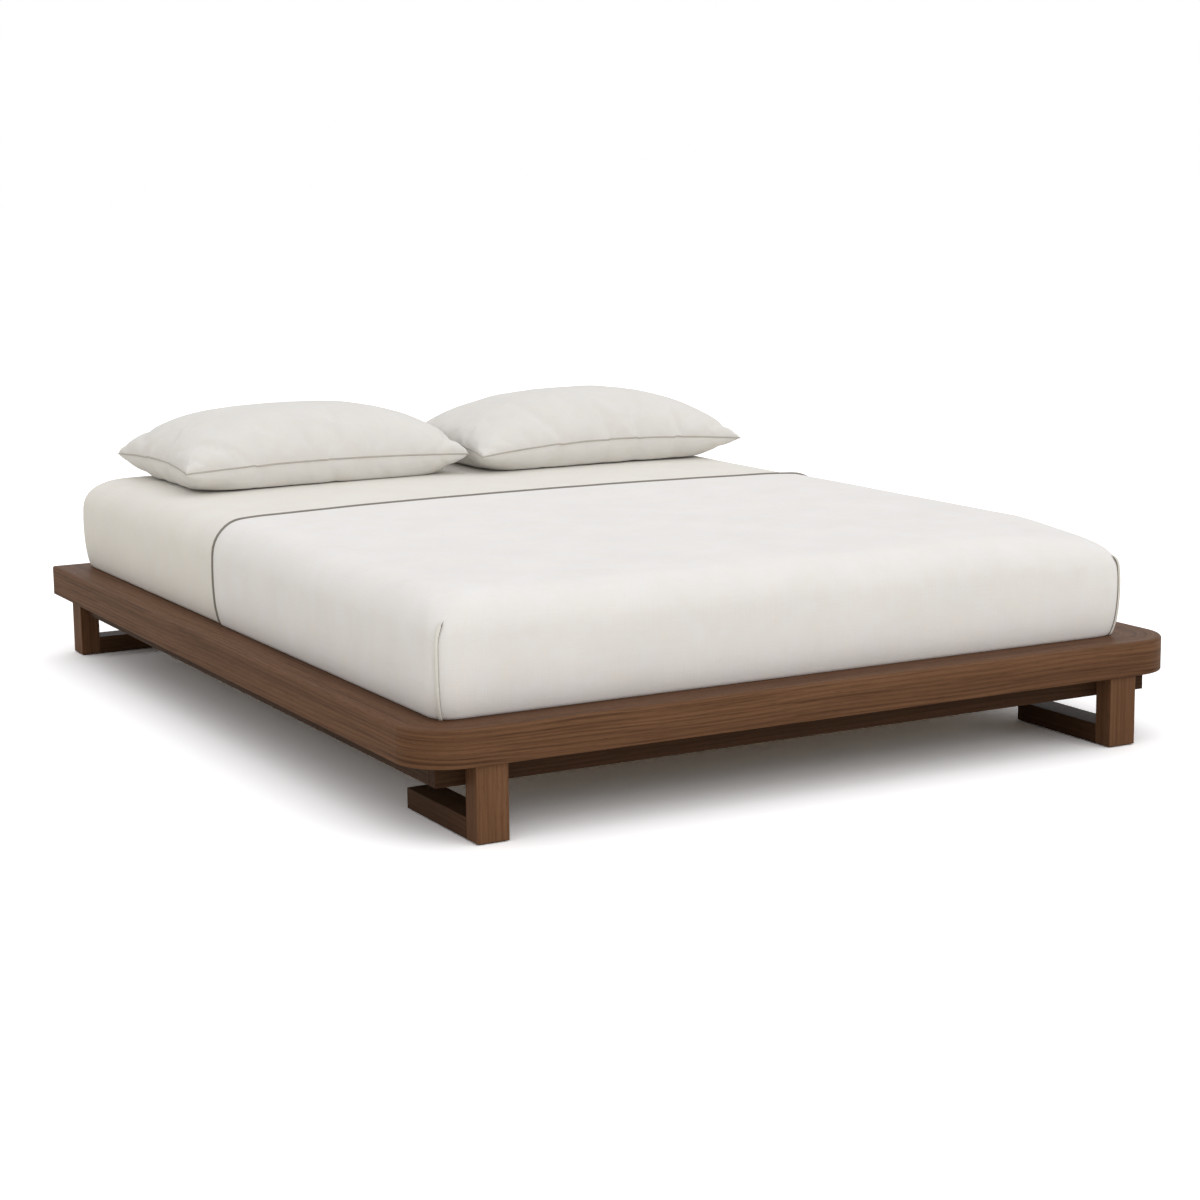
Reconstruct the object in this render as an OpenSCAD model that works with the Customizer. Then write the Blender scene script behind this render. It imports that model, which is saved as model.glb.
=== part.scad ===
// Low platform bed: a thick ledged slab on four L-shaped legs, with a slatted deck, mattress and pillows.
// X runs across the bed, Y from the foot to the head and Z up; the origin is on the floor below the middle.

/* [Mattress] */
// Width of the mattress at its base
mattress_w = 1524; // [1350:1:1930]
// Length of the mattress at its base
mattress_l = 2050; // [1880:1:2130]
// Height of the mattress at the middle of its crown
mattress_t = 224; // [180:1:300]
// Rise of the top from its edge to its middle
mattress_crown = 8; // [4:1:25]
// How far the sides swell out past the base
mattress_swell = 11; // [0:1:20]
// Radius of the top edge
mattress_top_r = 65; // [25:1:80]
// Radius of the upright corners at the base
mattress_corner_r = 38; // [30:1:80]
// How much wider the corners turn at the top than at the base
mattress_corner_soft = 28; // [0:1:50]
// How far the mattress lies left of the slab's middle
mattress_off = 16; // [0:1:20]

/* [Platform] */
// Ledge beside the mattress when it lies in the middle
ledge_side = 91; // [60:1:120]
// Ledge that shows at the foot
ledge_foot = 80; // [60:1:120]
// Ledge that shows at the head
ledge_head = 38; // [20:1:90]
// Height of the deck above the floor
deck_h = 214; // [195:1:320]
// Thickness of the slab's planks
slab_t = 70; // [55:1:90]
// Width of each plank of the slab
rail_w = 190; // [180:1:220]
// Radius of the two foot corners in plan
corner_r = 100; // [60:1:150]
// Round-over of the slab's top edge
edge_r = 7; // [3:1:12]
// Radius of the two head corners in plan
head_corner_r = 4; // [2:1:10]

/* [Legs] */
// Width of a leg across its runner
leg_w = 64; // [56:1:90]
// Depth of a post along its runner
leg_d = 46; // [34:1:58]
// Length of a leg from the post's outer face to the runner's end
leg_reach = 300; // [200:1:420]
// Height of a runner's top above the floor
runner_h = 42; // [34:1:55]
// Inset of the foot posts from the slab's side
foot_leg_side = 112; // [80:1:200]
// Inset of the foot posts from the slab's foot edge
foot_leg_end = 8; // [4:1:25]
// Inset of the head posts from the slab's side
head_leg_side = 37; // [20:1:60]
// Inset of the head posts from the slab's head edge
head_leg_end = 30; // [15:1:60]
// Rounding of the edges of legs and aprons
ease_r = 2; // [1:0.5:4]
// Thickness of the felt glides
glide_t = 2; // [1:0.5:5]
// Inset of a glide from the edges of its leg
glide_inset = 6; // [3:1:10]
// Length of a glide along its runner
glide_l = 34; // [20:1:36]

/* [Apron] */
// Thickness of the apron boards
apron_t = 24; // [18:1:30]
// How far the apron hangs below the slab
apron_drop = 43; // [30:1:60]

/* [Deck] */
// Number of slats
slat_count = 10; // [8:1:10]
// Width of a slat
slat_w = 100; // [80:1:120]
// Thickness of a slat
slat_t = 20; // [16:1:24]
// Gap between a slat's end and the plank
slat_end_gap = 2; // [1:0.5:4]
// Width of the ledgers that carry the slats
ledger_w = 30; // [24:1:45]
// Height of the ledgers
ledger_h = 30; // [24:1:36]
// Width of the centre beam
beam_w = 45; // [40:1:70]
// Height of the centre beam
beam_h = 38; // [30:1:39]
// Distance between the two centre legs
beam_leg_pitch = 760; // [500:10:1100]
// Side of a centre leg's square section
beam_leg_w = 45; // [40:1:60]
// Thickness of the steel hangers
hanger_t = 2; // [1.5:0.5:3]
// Length of the hangers along the beam
hanger_reach = 40; // [30:1:60]
// Width of each screw flange of the hangers
hanger_flange = 22; // [18:1:30]
// Thickness of the steel corner plates
plate_t = 2.5; // [2:0.5:4]
// Length of a foot corner plate's two short edges
mitre_plate_l = 110; // [100:1:110]
// Length of a head plate across its joint
butt_plate_l = 120; // [100:1:150]
// Width of a head plate
butt_plate_w = 50; // [40:1:60]
// Gap between the plates and the aprons
plate_gap = 12; // [8:1:16]
// Distance of the plates' screws from the plates' edges
plate_margin = 14; // [10:1:16]

/* [Fasteners] */
// Diameter of the leg bolts
bolt_d = 8; // [6:1:8]
// Diameter of a bolt head
bolt_head_d = 13; // [12:0.5:14]
// Height of a bolt head
bolt_head_h = 8; // [5:0.5:9]
// Diameter of the washers
washer_d = 18; // [15:0.5:19]
// Thickness of the washers
washer_t = 1.6; // [1:0.2:2]
// Depth of the pocket for the bolt head
pocket_h = 16; // [13:1:18]
// Outer diameter of the threaded inserts
insert_d = 12; // [10:0.5:14]
// Length of the threaded inserts
insert_l = 22; // [15:1:28]
// Diameter of the dowels
dowel_d = 10; // [8:1:10]
// Length of the dowels
dowel_l = 44; // [36:1:44]
// Distance of a runner's dowels from the leg's middle
dowel_off = 17; // [15:1:18]
// Distance of the alignment dowel from the bolt
key_off = 20; // [15:1:22]
// Diameter of the wood screws
screw_d = 4.5; // [3.5:0.5:5]
// Diameter of their countersunk heads
screw_head_d = 9; // [8:0.5:10]
// Length of the screws in the corner plates
plate_screw_l = 25; // [20:1:35]
// Length of the screws in the ledgers and the hangers
ledger_screw_l = 50; // [45:1:60]
// Length of the screws in the slats
slat_screw_l = 40; // [35:1:45]
// Length of the screws in the aprons
apron_screw_l = 60; // [55:1:65]
// Depth of the pockets for the apron screws
apron_pocket = 12; // [8:1:14]
// Radial play of dowels, inserts and screws in their holes
fit_gap = 0.05; // [0.02:0.01:0.1]
// Radial play of a bolt in its hole
bolt_gap = 0.5; // [0.3:0.1:1]

/* [Bedding] */
// Thickness of the fitted sheet
sheet_t = 1.5; // [1:0.1:3]
// Thickness of the coverlet
coverlet_t = 2.5; // [1.5:0.1:4]
// Length of the coverlet from the foot of the mattress to its hem
coverlet_l = 1142; // [900:1:1300]
// Diameter of the piping
piping_d = 5; // [4:0.5:8]
// Gap between a piping and the cloth that it edges
piping_gap = 0.1; // [0.05:0.05:0.3]
// Drop from the mattress's crown to the tops of the corner pipings
corner_piping_drop = 54; // [20:1:90]
// Gap between the lower edges of the bedding and the deck
bedding_lift = 0.6; // [0.4:0.1:2]
// Gap that soft parts keep to what they rest on
soft_gap = 0.3; // [0.2:0.1:0.5]

/* [Pillows] */
// Width of a pillow from corner to corner
pillow_w = 714; // [600:1:725]
// Depth of a pillow from corner to corner
pillow_d = 484; // [420:1:520]
// Height of a pillow's crown above its seam
pillow_rise = 112; // [80:1:140]
// Height of the seam above the mattress at the corners
pillow_seat = 46; // [30:1:60]
// How much higher the seam lies between the corners
pillow_lift = 12; // [0:1:20]
// How far each short side is drawn in between its corners
pillow_pull_x = 16; // [10:1:40]
// How far each long side is drawn in between its corners
pillow_pull_y = 26; // [10:1:45]
// Thickness of the pillow covers
cover_t = 1.5; // [1:0.1:3]
// Width of the seam allowance that the filling stays out of
seam_w = 8; // [5:1:15]
// Middle of the left pillow, left of the bed's middle
pillow_left_off = 337; // [330:1:380]
// Middle of the right pillow, right of the bed's middle
pillow_right_off = 394; // [390:1:440]
// Gap between the left pillow's back corners and the head of the mattress
pillow_left_back_gap = 34; // [20:1:120]
// Gap between the right pillow's back corners and the head of the mattress
pillow_right_back_gap = 98; // [20:1:120]

/* [Hidden] */

slab_w = mattress_w + 2 * ledge_side;
slab_l = mattress_l + ledge_foot + ledge_head;
half_w = slab_w / 2;
half_l = slab_l / 2;
slab_z = deck_h - slab_t;
open_w = slab_w - 2 * rail_w;
open_l = slab_l - 2 * rail_w;

// The apron stands right behind the foot posts, and its side boards keep the same inset
apron_inset = foot_leg_end + leg_d;
apron_back = apron_inset + apron_t;
apron_z = slab_z - apron_drop;
side_apron_y0 = -half_l + apron_back;
side_apron_y1 = half_l - head_leg_end - leg_w;
head_apron_w = slab_w - 2 * (head_leg_side + leg_d);

slat_z = deck_h - slat_t;
slat_gap = (open_l - slat_count * slat_w) / (slat_count + 1);
beam_z = slat_z - beam_h;
beam_l = open_l - 2 * hanger_t;
beam_legs_y = [-beam_leg_pitch / 2, beam_leg_pitch / 2];

// Height of the shoulder that the washers bear on, above the pockets for the bolt heads
bolt_seat = glide_t + pocket_h;

smooth_fn = 48;
small_fn = 24;

LEGS = ["foot_left", "foot_right", "head_left", "head_right"];
SIDES = ["left", "right"];
ENDS = ["foot", "head"];
slat_names = [for (i = [1:slat_count]) str("slat_", i)];

walnut = "#6d4a36";
poplar = "#d8c3a0";
zinc = "#b8bcc0";
felt = "#4c4a47";
foam = "#f1ead6";
linen = "#e4dfd6";
quilt = "#ece9e2";
cord = "#b2a898";
cotton = "#ece6dc";

// General shapes

// Mirrors its children to the right side where side is 1
module on_side(side) {
    if (side == 0) children();
    else mirror([1, 0, 0]) children();
}

// Mirrors its children to the head where end is 1
module on_end(end) {
    if (end == 0) children();
    else mirror([0, 1, 0]) children();
}

// What a round-over of radius r takes off a square corner at the origin
module corner_waste(r) {
    difference() {
        translate([-1, -1]) square([r + 1, r + 1]);
        translate([r, r]) circle(r = r, $fn = smooth_fn);
    }
}

module round_rect(w, d, r) {
    translate([r, 0]) square([w - 2 * r, d]);
    translate([0, r]) square([w, d - 2 * r]);
    for (x = [r, w - r], y = [r, d - r]) translate([x, y]) circle(r = r, $fn = small_fn);
}

// Pushes a flat outline of X and Z along Y from y0 to y1
module along_y(y0, y1) {
    translate([0, y1, 0]) rotate([90, 0, 0]) linear_extrude(y1 - y0) children();
}

// A block from the origin with all its edges eased
module eased_block(w, d, h, r) {
    intersection() {
        linear_extrude(h) round_rect(w, d, r);
        along_y(0, d) round_rect(w, h, r);
        rotate([90, 0, 90]) linear_extrude(w) round_rect(d, h, r);
    }
}

// Countersunk wood screw with its head's top at the origin and its point at +Z
module wood_screw(length, play = 0) {
    shank = screw_d / 2 + play;
    head = screw_head_d / 2 + play;
    rim = 0.6;
    rotate_extrude($fn = small_fn)
        polygon([
            [0, -play],
            [head, -play],
            [head, rim],
            [shank, rim + head - shank],
            [shank, length - 2 * screw_d + play],
            [0, length + play]
        ]);
}

// A row of n places spread evenly over a length, a margin in from its ends
function spread(n, length, margin) =
    [for (i = [0:n - 1]) -length / 2 + margin + i * (length - 2 * margin) / (n - 1)];

// Slab of four planks, mitred at the foot and butted at the head

// Section of a plank: its outer face at x = 0, rounded over above and eased below
module rail_profile(w) {
    difference() {
        square([w, slab_t]);
        corner_waste(ease_r);
        translate([0, slab_t]) mirror([0, 1]) corner_waste(edge_r);
    }
}

// A slice of the round foot corner, from its middle out, between two angles
module corner_slice(from_angle) {
    rotate([0, 0, from_angle])
        rotate_extrude(angle = 45, $fn = smooth_fn * 2)
            translate([corner_r, 0]) mirror([1, 0]) rail_profile(corner_r);
}

module left_plank() {
    difference() {
        union() {
            intersection() {
                translate([-half_w, 0, slab_z])
                    along_y(-half_l + corner_r, half_l) rail_profile(rail_w);
                translate([-half_w, -half_l, slab_z])
                    linear_extrude(slab_t)
                        polygon([[0, 0], [rail_w, rail_w], [rail_w, slab_l], [0, slab_l]]);
                translate([-half_w, half_l, slab_z])
                    rotate([90, 0, 90]) linear_extrude(rail_w)
                        mirror([1, 0]) head_end_profile();
            }
            translate([-half_w + corner_r, -half_l + corner_r, slab_z]) corner_slice(180);
        }
        translate([-half_w, half_l, slab_z - 1])
            linear_extrude(slab_t + 2) mirror([0, 1]) corner_waste(head_corner_r);
    }
}

// Long section that rounds the planks' head ends over as the head plank is
module head_end_profile() {
    difference() {
        square([slab_l, slab_t]);
        corner_waste(ease_r);
        translate([0, slab_t]) mirror([0, 1]) corner_waste(edge_r);
    }
}

module foot_plank() {
    intersection() {
        translate([-half_w + corner_r, -half_l, slab_z])
            rotate([90, 0, 90]) linear_extrude(slab_w - 2 * corner_r) rail_profile(rail_w);
        translate([0, -half_l, slab_z])
            linear_extrude(slab_t)
                polygon([
                    [-half_w, 0],
                    [half_w, 0],
                    [half_w - rail_w, rail_w],
                    [rail_w - half_w, rail_w]
                ]);
    }
    for (side = [0, 1])
        on_side(side) translate([half_w - corner_r, -half_l + corner_r, slab_z]) corner_slice(270);
}

module side_rail(side) {
    color(walnut)
        difference() {
            on_side(side) left_plank();
            on_side(side) {
                leg_holes(2);
                ledger_screw_set(fit_gap);
                side_apron_screws(fit_gap);
                mitre_plate_screws(fit_gap);
                butt_plate_screws(fit_gap);
            }
        }
}

module rail_foot() {
    color(walnut)
        difference() {
            foot_plank();
            for (side = [0, 1])
                on_side(side) {
                    leg_holes(0);
                    mitre_plate_screws(fit_gap);
                }
            end_apron_screws(0, fit_gap);
            hanger_screws(0, fit_gap);
        }
}

module rail_head() {
    color(walnut)
        difference() {
            translate([-open_w / 2, half_l, slab_z])
                rotate([90, 0, 90]) linear_extrude(open_w) mirror([1, 0]) rail_profile(rail_w);
            for (side = [0, 1]) on_side(side) butt_plate_screws(fit_gap);
            end_apron_screws(1, fit_gap);
            hanger_screws(1, fit_gap);
        }
}

// Apron boards set back under the slab

module side_apron(side) {
    color(walnut)
        difference() {
            on_side(side)
                translate([-half_w + apron_inset, side_apron_y0, apron_z])
                    eased_block(apron_t, side_apron_y1 - side_apron_y0, apron_drop, ease_r);
            on_side(side) side_apron_screws(fit_gap);
        }
}

module apron_foot() {
    foot_apron_w = slab_w - 2 * apron_inset;
    color(walnut)
        difference() {
            translate([-foot_apron_w / 2, -half_l + apron_inset, apron_z])
                eased_block(foot_apron_w, apron_t, apron_drop, ease_r);
            end_apron_screws(0, fit_gap);
        }
}

module apron_head() {
    color(walnut)
        difference() {
            translate([-head_apron_w / 2, half_l - apron_back, apron_z])
                eased_block(head_apron_w, apron_t, apron_drop, ease_r);
            end_apron_screws(1, fit_gap);
        }
}

// Each apron screw goes up from a pocket in the board's lower edge into the slab.
// The margins are from the ends of the side boards and from the deck's sides.
side_screw_margin = 190;
end_screw_margin = 200;

module apron_screw(play) {
    translate([0, 0, apron_z + apron_pocket]) wood_screw(apron_screw_l, play);
    if (play > 0)
        translate([0, 0, apron_z - 1])
            cylinder(d = screw_head_d + 2 * play, h = apron_pocket + 1, $fn = small_fn);
}

module side_apron_screws(play) {
    apron_len = side_apron_y1 - side_apron_y0;
    middle = (side_apron_y0 + side_apron_y1) / 2;
    for (y = spread(4, apron_len, side_screw_margin))
        translate([-half_w + apron_inset + apron_t / 2, middle + y, 0]) apron_screw(play);
}

module end_apron_screws(end, play) {
    for (x = spread(3, open_w, end_screw_margin))
        translate([x, (end == 0 ? -1 : 1) * (half_l - apron_inset - apron_t / 2), 0]) apron_screw(play);
}

module apron_screws() {
    color(zinc) {
        for (side = [0, 1]) on_side(side) side_apron_screws(0);
        for (end = [0, 1]) end_apron_screws(end, 0);
    }
}

// Steel plates under the slab's four joints

plate_edge = apron_back + plate_gap;

// The foot plate is a triangle over the mitre, with its square corner towards the slab's corner
function mitre_screw_places() =
    let (far = mitre_plate_l - 2 * plate_margin)
    [[2 * plate_margin, plate_margin], [far, plate_margin],
     [plate_margin, 2 * plate_margin], [plate_margin, far]];

module mitre_plate(side) {
    color(zinc)
        on_side(side)
            translate([-half_w + plate_edge, -half_l + plate_edge, slab_z - plate_t])
                difference() {
                    linear_extrude(plate_t)
                        polygon([[0, 0], [mitre_plate_l, 0], [0, mitre_plate_l]]);
                    for (p = mitre_screw_places())
                        translate([p[0], p[1], 0]) wood_screw(plate_screw_l, fit_gap);
                }
}

module mitre_plate_screws(play) {
    for (p = mitre_screw_places())
        translate([-half_w + plate_edge + p[0], -half_l + plate_edge + p[1], slab_z - plate_t])
            wood_screw(plate_screw_l, play);
}

// The head plate lies across the butt joint between a side plank and the head plank
function butt_screw_places() =
    [for (x = [plate_margin, butt_plate_l - plate_margin], y = [plate_margin, butt_plate_w - plate_margin])
        [x - butt_plate_l / 2, y]];

module at_butt_plate() {
    translate([-open_w / 2, half_l - plate_edge - butt_plate_w, slab_z - plate_t]) children();
}

module butt_plate(side) {
    color(zinc)
        on_side(side)
            at_butt_plate()
                difference() {
                    translate([-butt_plate_l / 2, 0, 0]) cube([butt_plate_l, butt_plate_w, plate_t]);
                    for (p = butt_screw_places())
                        translate([p[0], p[1], 0]) wood_screw(plate_screw_l, fit_gap);
                }
}

module butt_plate_screws(play) {
    at_butt_plate()
        for (p = butt_screw_places()) translate([p[0], p[1], 0]) wood_screw(plate_screw_l, play);
}

module plate_screws() {
    color(zinc)
        for (side = [0, 1])
            on_side(side) {
                mitre_plate_screws(0);
                butt_plate_screws(0);
            }
}

// Deck of slats on two ledgers and a centre beam

module ledger(side) {
    ledger_len = open_l - 2 * slat_end_gap;
    color(poplar)
        difference() {
            on_side(side)
                translate([-open_w / 2, -ledger_len / 2, slat_z - ledger_h])
                    cube([ledger_w, ledger_len, ledger_h]);
            on_side(side) {
                ledger_screw_set(fit_gap);
                slat_screw_row(fit_gap);
            }
        }
}

// The ledgers' screws lie between the slats' screws, and go outwards into the side planks
module ledger_screw_set(play) {
    for (y = spread(5, open_l, slat_gap + slat_w + slat_gap / 2))
        translate([-open_w / 2 + ledger_w, slat_pitch_near(y), slat_z - ledger_h / 2])
            rotate([0, -90, 0]) wood_screw(ledger_screw_l, play);
}

// The middle of the gap between slats that lies nearest to y
function slat_pitch_near(y) =
    let (pitch = slat_w + slat_gap, first = -open_l / 2 + slat_gap / 2)
    first + pitch * round((y - first) / pitch);

function slat_y(i) = -open_l / 2 + slat_gap + i * (slat_w + slat_gap);

module slat(i) {
    slat_len = open_w - 2 * slat_end_gap;
    color(poplar)
        difference() {
            translate([-slat_len / 2, slat_y(i), slat_z])
                rotate([90, 0, 90]) linear_extrude(slat_len) round_rect(slat_w, slat_t, ease_r);
            for (side = [0, 1]) on_side(side) slat_screw(i, fit_gap);
        }
}

// A slat is screwed down to the ledger at each end
module slat_screw(i, play) {
    translate([-open_w / 2 + ledger_w / 2, slat_y(i) + slat_w / 2, deck_h])
        rotate([180, 0, 0]) wood_screw(slat_screw_l, play);
}

module slat_screw_row(play) {
    for (i = [0:slat_count - 1]) slat_screw(i, play);
}

module slat_screws() {
    color(zinc) for (side = [0, 1]) on_side(side) slat_screw_row(0);
}

module centre_beam() {
    color(poplar)
        difference() {
            translate([-beam_w / 2, -beam_l / 2, beam_z]) cube([beam_w, beam_l, beam_h]);
            for (y = beam_legs_y)
                translate([0, y, beam_z - 1])
                    cylinder(d = insert_d + 2 * fit_gap, h = insert_l + 2, $fn = small_fn);
        }
}

// A hanger is a steel tray with two screw flanges against the plank
module beam_hanger(end) {
    inner_w = beam_w;
    outer_w = inner_w + 2 * hanger_t;
    color(zinc)
        difference() {
            on_end(end) {
                translate([-outer_w / 2 - hanger_flange, -open_l / 2, beam_z - hanger_t])
                    cube([outer_w + 2 * hanger_flange, hanger_t, beam_h + hanger_t]);
                translate([-outer_w / 2, -open_l / 2, beam_z - hanger_t])
                    cube([outer_w, hanger_reach, hanger_t]);
                for (x = [-outer_w / 2, inner_w / 2])
                    translate([x, -open_l / 2, beam_z - hanger_t])
                        cube([hanger_t, hanger_reach, beam_h + hanger_t]);
            }
            hanger_screws(end, fit_gap);
        }
}

module hanger_screws(end, play) {
    screw_x = beam_w / 2 + hanger_t + hanger_flange / 2;
    on_end(end)
        for (x = [-screw_x, screw_x], z = [beam_z + beam_h / 4, beam_z + beam_h * 3 / 4])
            translate([x, -open_l / 2 + hanger_t, z]) rotate([90, 0, 0]) wood_screw(ledger_screw_l, play);
}

module ledger_screws() {
    color(zinc) {
        for (side = [0, 1]) on_side(side) ledger_screw_set(0);
        for (end = [0, 1]) hanger_screws(end, 0);
    }
}

// Legs: a post and a floor runner at each corner, in the leg's own frame.
// There the post's outer face is at y = 0, the runner goes along +Y and the width lies along +X.

module at_leg(i) {
    on_side(i % 2)
        if (i < 2) translate([-half_w + foot_leg_side, -half_l + foot_leg_end, 0]) children();
        else translate([-half_w + head_leg_side, half_l - head_leg_end, 0]) rotate([0, 0, -90]) children();
}

bolt_x = leg_w / 2;
bolt_y = leg_d / 2;
dowel_z = (glide_t + runner_h) / 2;

// A bolt in its hole, from the pocket in the foot up to the height of the joint
module bolt_hole(top_z) {
    translate([0, 0, glide_t - 1])
        cylinder(d = washer_d + 2 * bolt_gap, h = pocket_h + 1, $fn = small_fn);
    translate([0, 0, glide_t]) cylinder(d = bolt_d + 2 * bolt_gap, h = top_z, $fn = small_fn);
}

module bolt(top_z) {
    seat = bolt_seat - washer_t;
    translate([0, 0, seat - bolt_head_h]) cylinder(d = bolt_head_d, h = bolt_head_h, $fn = small_fn);
    translate([0, 0, seat]) cylinder(d = bolt_d, h = top_z + insert_l - seat, $fn = small_fn);
}

module washer() {
    translate([0, 0, bolt_seat - washer_t])
        difference() {
            cylinder(d = washer_d, h = washer_t, $fn = small_fn);
            translate([0, 0, -1]) cylinder(d = bolt_d + bolt_gap, h = washer_t + 2, $fn = small_fn);
        }
}

module insert(base_z) {
    translate([0, 0, base_z])
        difference() {
            cylinder(d = insert_d, h = insert_l, $fn = small_fn);
            translate([0, 0, -1]) cylinder(d = bolt_d + 2 * fit_gap, h = insert_l + 2, $fn = small_fn);
        }
}

// The alignment dowel between post and slab, and the two dowels between post and runner
module key_dowel(play) {
    translate([bolt_x + key_off, bolt_y, slab_z - dowel_l / 2 - play])
        cylinder(d = dowel_d + 2 * play, h = dowel_l + 2 * play, $fn = small_fn);
}

module runner_dowels(play) {
    for (x = [bolt_x - dowel_off, bolt_x + dowel_off])
        translate([x, leg_d + dowel_l / 2 + play, dowel_z])
            rotate([90, 0, 0]) cylinder(d = dowel_d + 2 * play, h = dowel_l + 2 * play, $fn = small_fn);
}

// Holes in the slab's underside above one leg on the left side
module leg_holes(i) {
    at_leg(i) {
        translate([bolt_x, bolt_y, slab_z - 1])
            cylinder(d = insert_d + 2 * fit_gap, h = insert_l + 2, $fn = small_fn);
        key_dowel(fit_gap);
    }
}

module leg_post(i) {
    color(walnut)
        at_leg(i)
            difference() {
                translate([0, 0, glide_t]) eased_block(leg_w, leg_d, slab_z - glide_t, ease_r);
                translate([bolt_x, bolt_y, 0]) bolt_hole(slab_z);
                key_dowel(fit_gap);
                runner_dowels(fit_gap);
            }
}

module leg_runner(i) {
    color(walnut)
        at_leg(i)
            difference() {
                translate([0, leg_d, glide_t])
                    eased_block(leg_w, leg_reach - leg_d, runner_h - glide_t, ease_r);
                runner_dowels(fit_gap);
            }
}

module centre_leg(y) {
    color(poplar)
        translate([0, y, 0])
            difference() {
                translate([-beam_leg_w / 2, -beam_leg_w / 2, glide_t])
                    eased_block(beam_leg_w, beam_leg_w, beam_z - glide_t, ease_r);
                bolt_hole(beam_z);
            }
}

// Puts its children, made for a bolt on the origin, at each of the six bolts
module at_bolts() {
    for (i = [0:3]) at_leg(i) translate([bolt_x, bolt_y, 0]) children(0);
    for (y = beam_legs_y) translate([0, y, 0]) children(1);
}

module leg_bolts() {
    color(zinc)
        at_bolts() {
            bolt(slab_z);
            bolt(beam_z);
        }
}

module leg_washers() {
    color(zinc)
        at_bolts() {
            washer();
            washer();
        }
}

module leg_inserts() {
    color(zinc)
        at_bolts() {
            insert(slab_z);
            insert(beam_z);
        }
}

module leg_dowels() {
    color(poplar)
        for (i = [0:3])
            at_leg(i) {
                key_dowel(0);
                runner_dowels(0);
            }
}

module floor_glides() {
    pad_w = leg_w - 2 * glide_inset;
    centre_pad = beam_leg_w - 2 * glide_inset;
    color(felt) {
        for (i = [0:3])
            at_leg(i)
                for (y = [glide_inset, leg_reach - glide_inset - glide_l])
                    translate([glide_inset, y, 0]) linear_extrude(glide_t) round_rect(pad_w, glide_l, ease_r);
        for (y = beam_legs_y)
            translate([-centre_pad / 2, y - centre_pad / 2, 0])
                linear_extrude(glide_t) round_rect(centre_pad, centre_pad, ease_r);
    }
}

// Soft surfaces as stacks of rings. Faces are listed clockwise as seen from outside.

function unit(v) = v / norm(v);

// Triangles between two rings of n points that start at a and b, with b above a
function band(a, b, n) =
    [for (j = [0:n - 1], t = [0, 1])
        let (k = (j + 1) % n)
        t == 0 ? [a + j, b + k, a + k] : [a + j, b + j, b + k]];

function flipped(faces) = [for (f = faces) [f[0], f[2], f[1]]];

function fan_over(a, n, apex) = [for (j = [0:n - 1]) [a + j, apex, a + (j + 1) % n]];

// Mattress: base ring, swelling sides, rounded top edge and a crown that rises to the middle

mattress_z = deck_h + soft_gap;
mattress_y = (ledge_foot - ledge_head) / 2;
edge_h = mattress_t - mattress_crown;
turn_h = edge_h - mattress_top_r;
side_n = 4;
round_n = 4;
crown_n = 3;
arc_n = 4;
edge_n = 3;
ring_n = 4 * (arc_n + 1 + edge_n);

function swell_at(z) = mattress_swell * sin(180 * z / edge_h);

// Points of the side's section as [outset from the base, height], with cloth of thickness o on it
function side_section(o) = concat(
    [for (i = [0:side_n]) let (z = turn_h * i / side_n) [swell_at(z) + o, z]],
    [for (i = [1:round_n])
        let (a = 90 * i / round_n, z = turn_h + mattress_top_r * sin(a))
        [swell_at(z) + o - (mattress_top_r + o) * (1 - cos(a)), z + o * sin(a)]]
);

// Half sizes of the ring where the crown begins
rim_a = mattress_w / 2 - mattress_top_r;
rim_b = mattress_l / 2 - mattress_top_r;

function crown_z(s, o) = edge_h + o + mattress_crown * (1 - s * s);

// One ring of a rounded rectangle, anticlockwise from above
function ring(a, b, r, z) =
    [for (c = [0:3], j = [0:arc_n + edge_n])
        let (
            sx = (c == 0 || c == 3) ? 1 : -1,
            sy = c < 2 ? 1 : -1,
            nx = (c + 1 == 1 || c + 1 == 4) ? 1 : -1,
            ny = (c + 1) % 4 < 2 ? 1 : -1,
            t = min(j, arc_n) / arc_n * 90 + 90 * c,
            here = [sx * (a - r) + r * cos(t), sy * (b - r) + r * sin(t)],
            next = [nx * (a - r) + r * cos(90 * (c + 1)), ny * (b - r) + r * sin(90 * (c + 1))],
            share = max(0, j - arc_n) / (edge_n + 1),
            p = here * (1 - share) + next * share
        )
        [p[0] - mattress_off, p[1] + mattress_y, z + mattress_z]];

// The corners turn wider as the surface rises past the sides
function corner_turn(z, o) =
    mattress_corner_r + o + mattress_corner_soft * pow(max(0, z - turn_h) / (mattress_top_r + o), 2);

function mattress_rings(o, lift) = concat(
    [for (p = side_section(o))
        ring(mattress_w / 2 + p[0], mattress_l / 2 + p[0], corner_turn(p[1], o), max(lift, p[1]))],
    [for (k = [1:crown_n])
        let (s = 1 - k / (crown_n + 1))
        ring(rim_a * s, rim_b * s, (mattress_corner_r + mattress_corner_soft) * s, crown_z(s, o))]
);

function flat_list(rings) = [for (r = rings) each r];

function apex_at(o) = [-mattress_off, mattress_y, mattress_z + crown_z(0, o)];

// Triangles of one mattress surface whose points start at a, from its base ring to its apex
function dome_faces(a) =
    let (levels = side_n + 1 + round_n + crown_n)
    concat(
        [for (k = [0:levels - 2]) for (f = band(a + k * ring_n, a + (k + 1) * ring_n, ring_n)) f],
        fan_over(a + (levels - 1) * ring_n, ring_n, a + levels * ring_n)
    );

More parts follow.
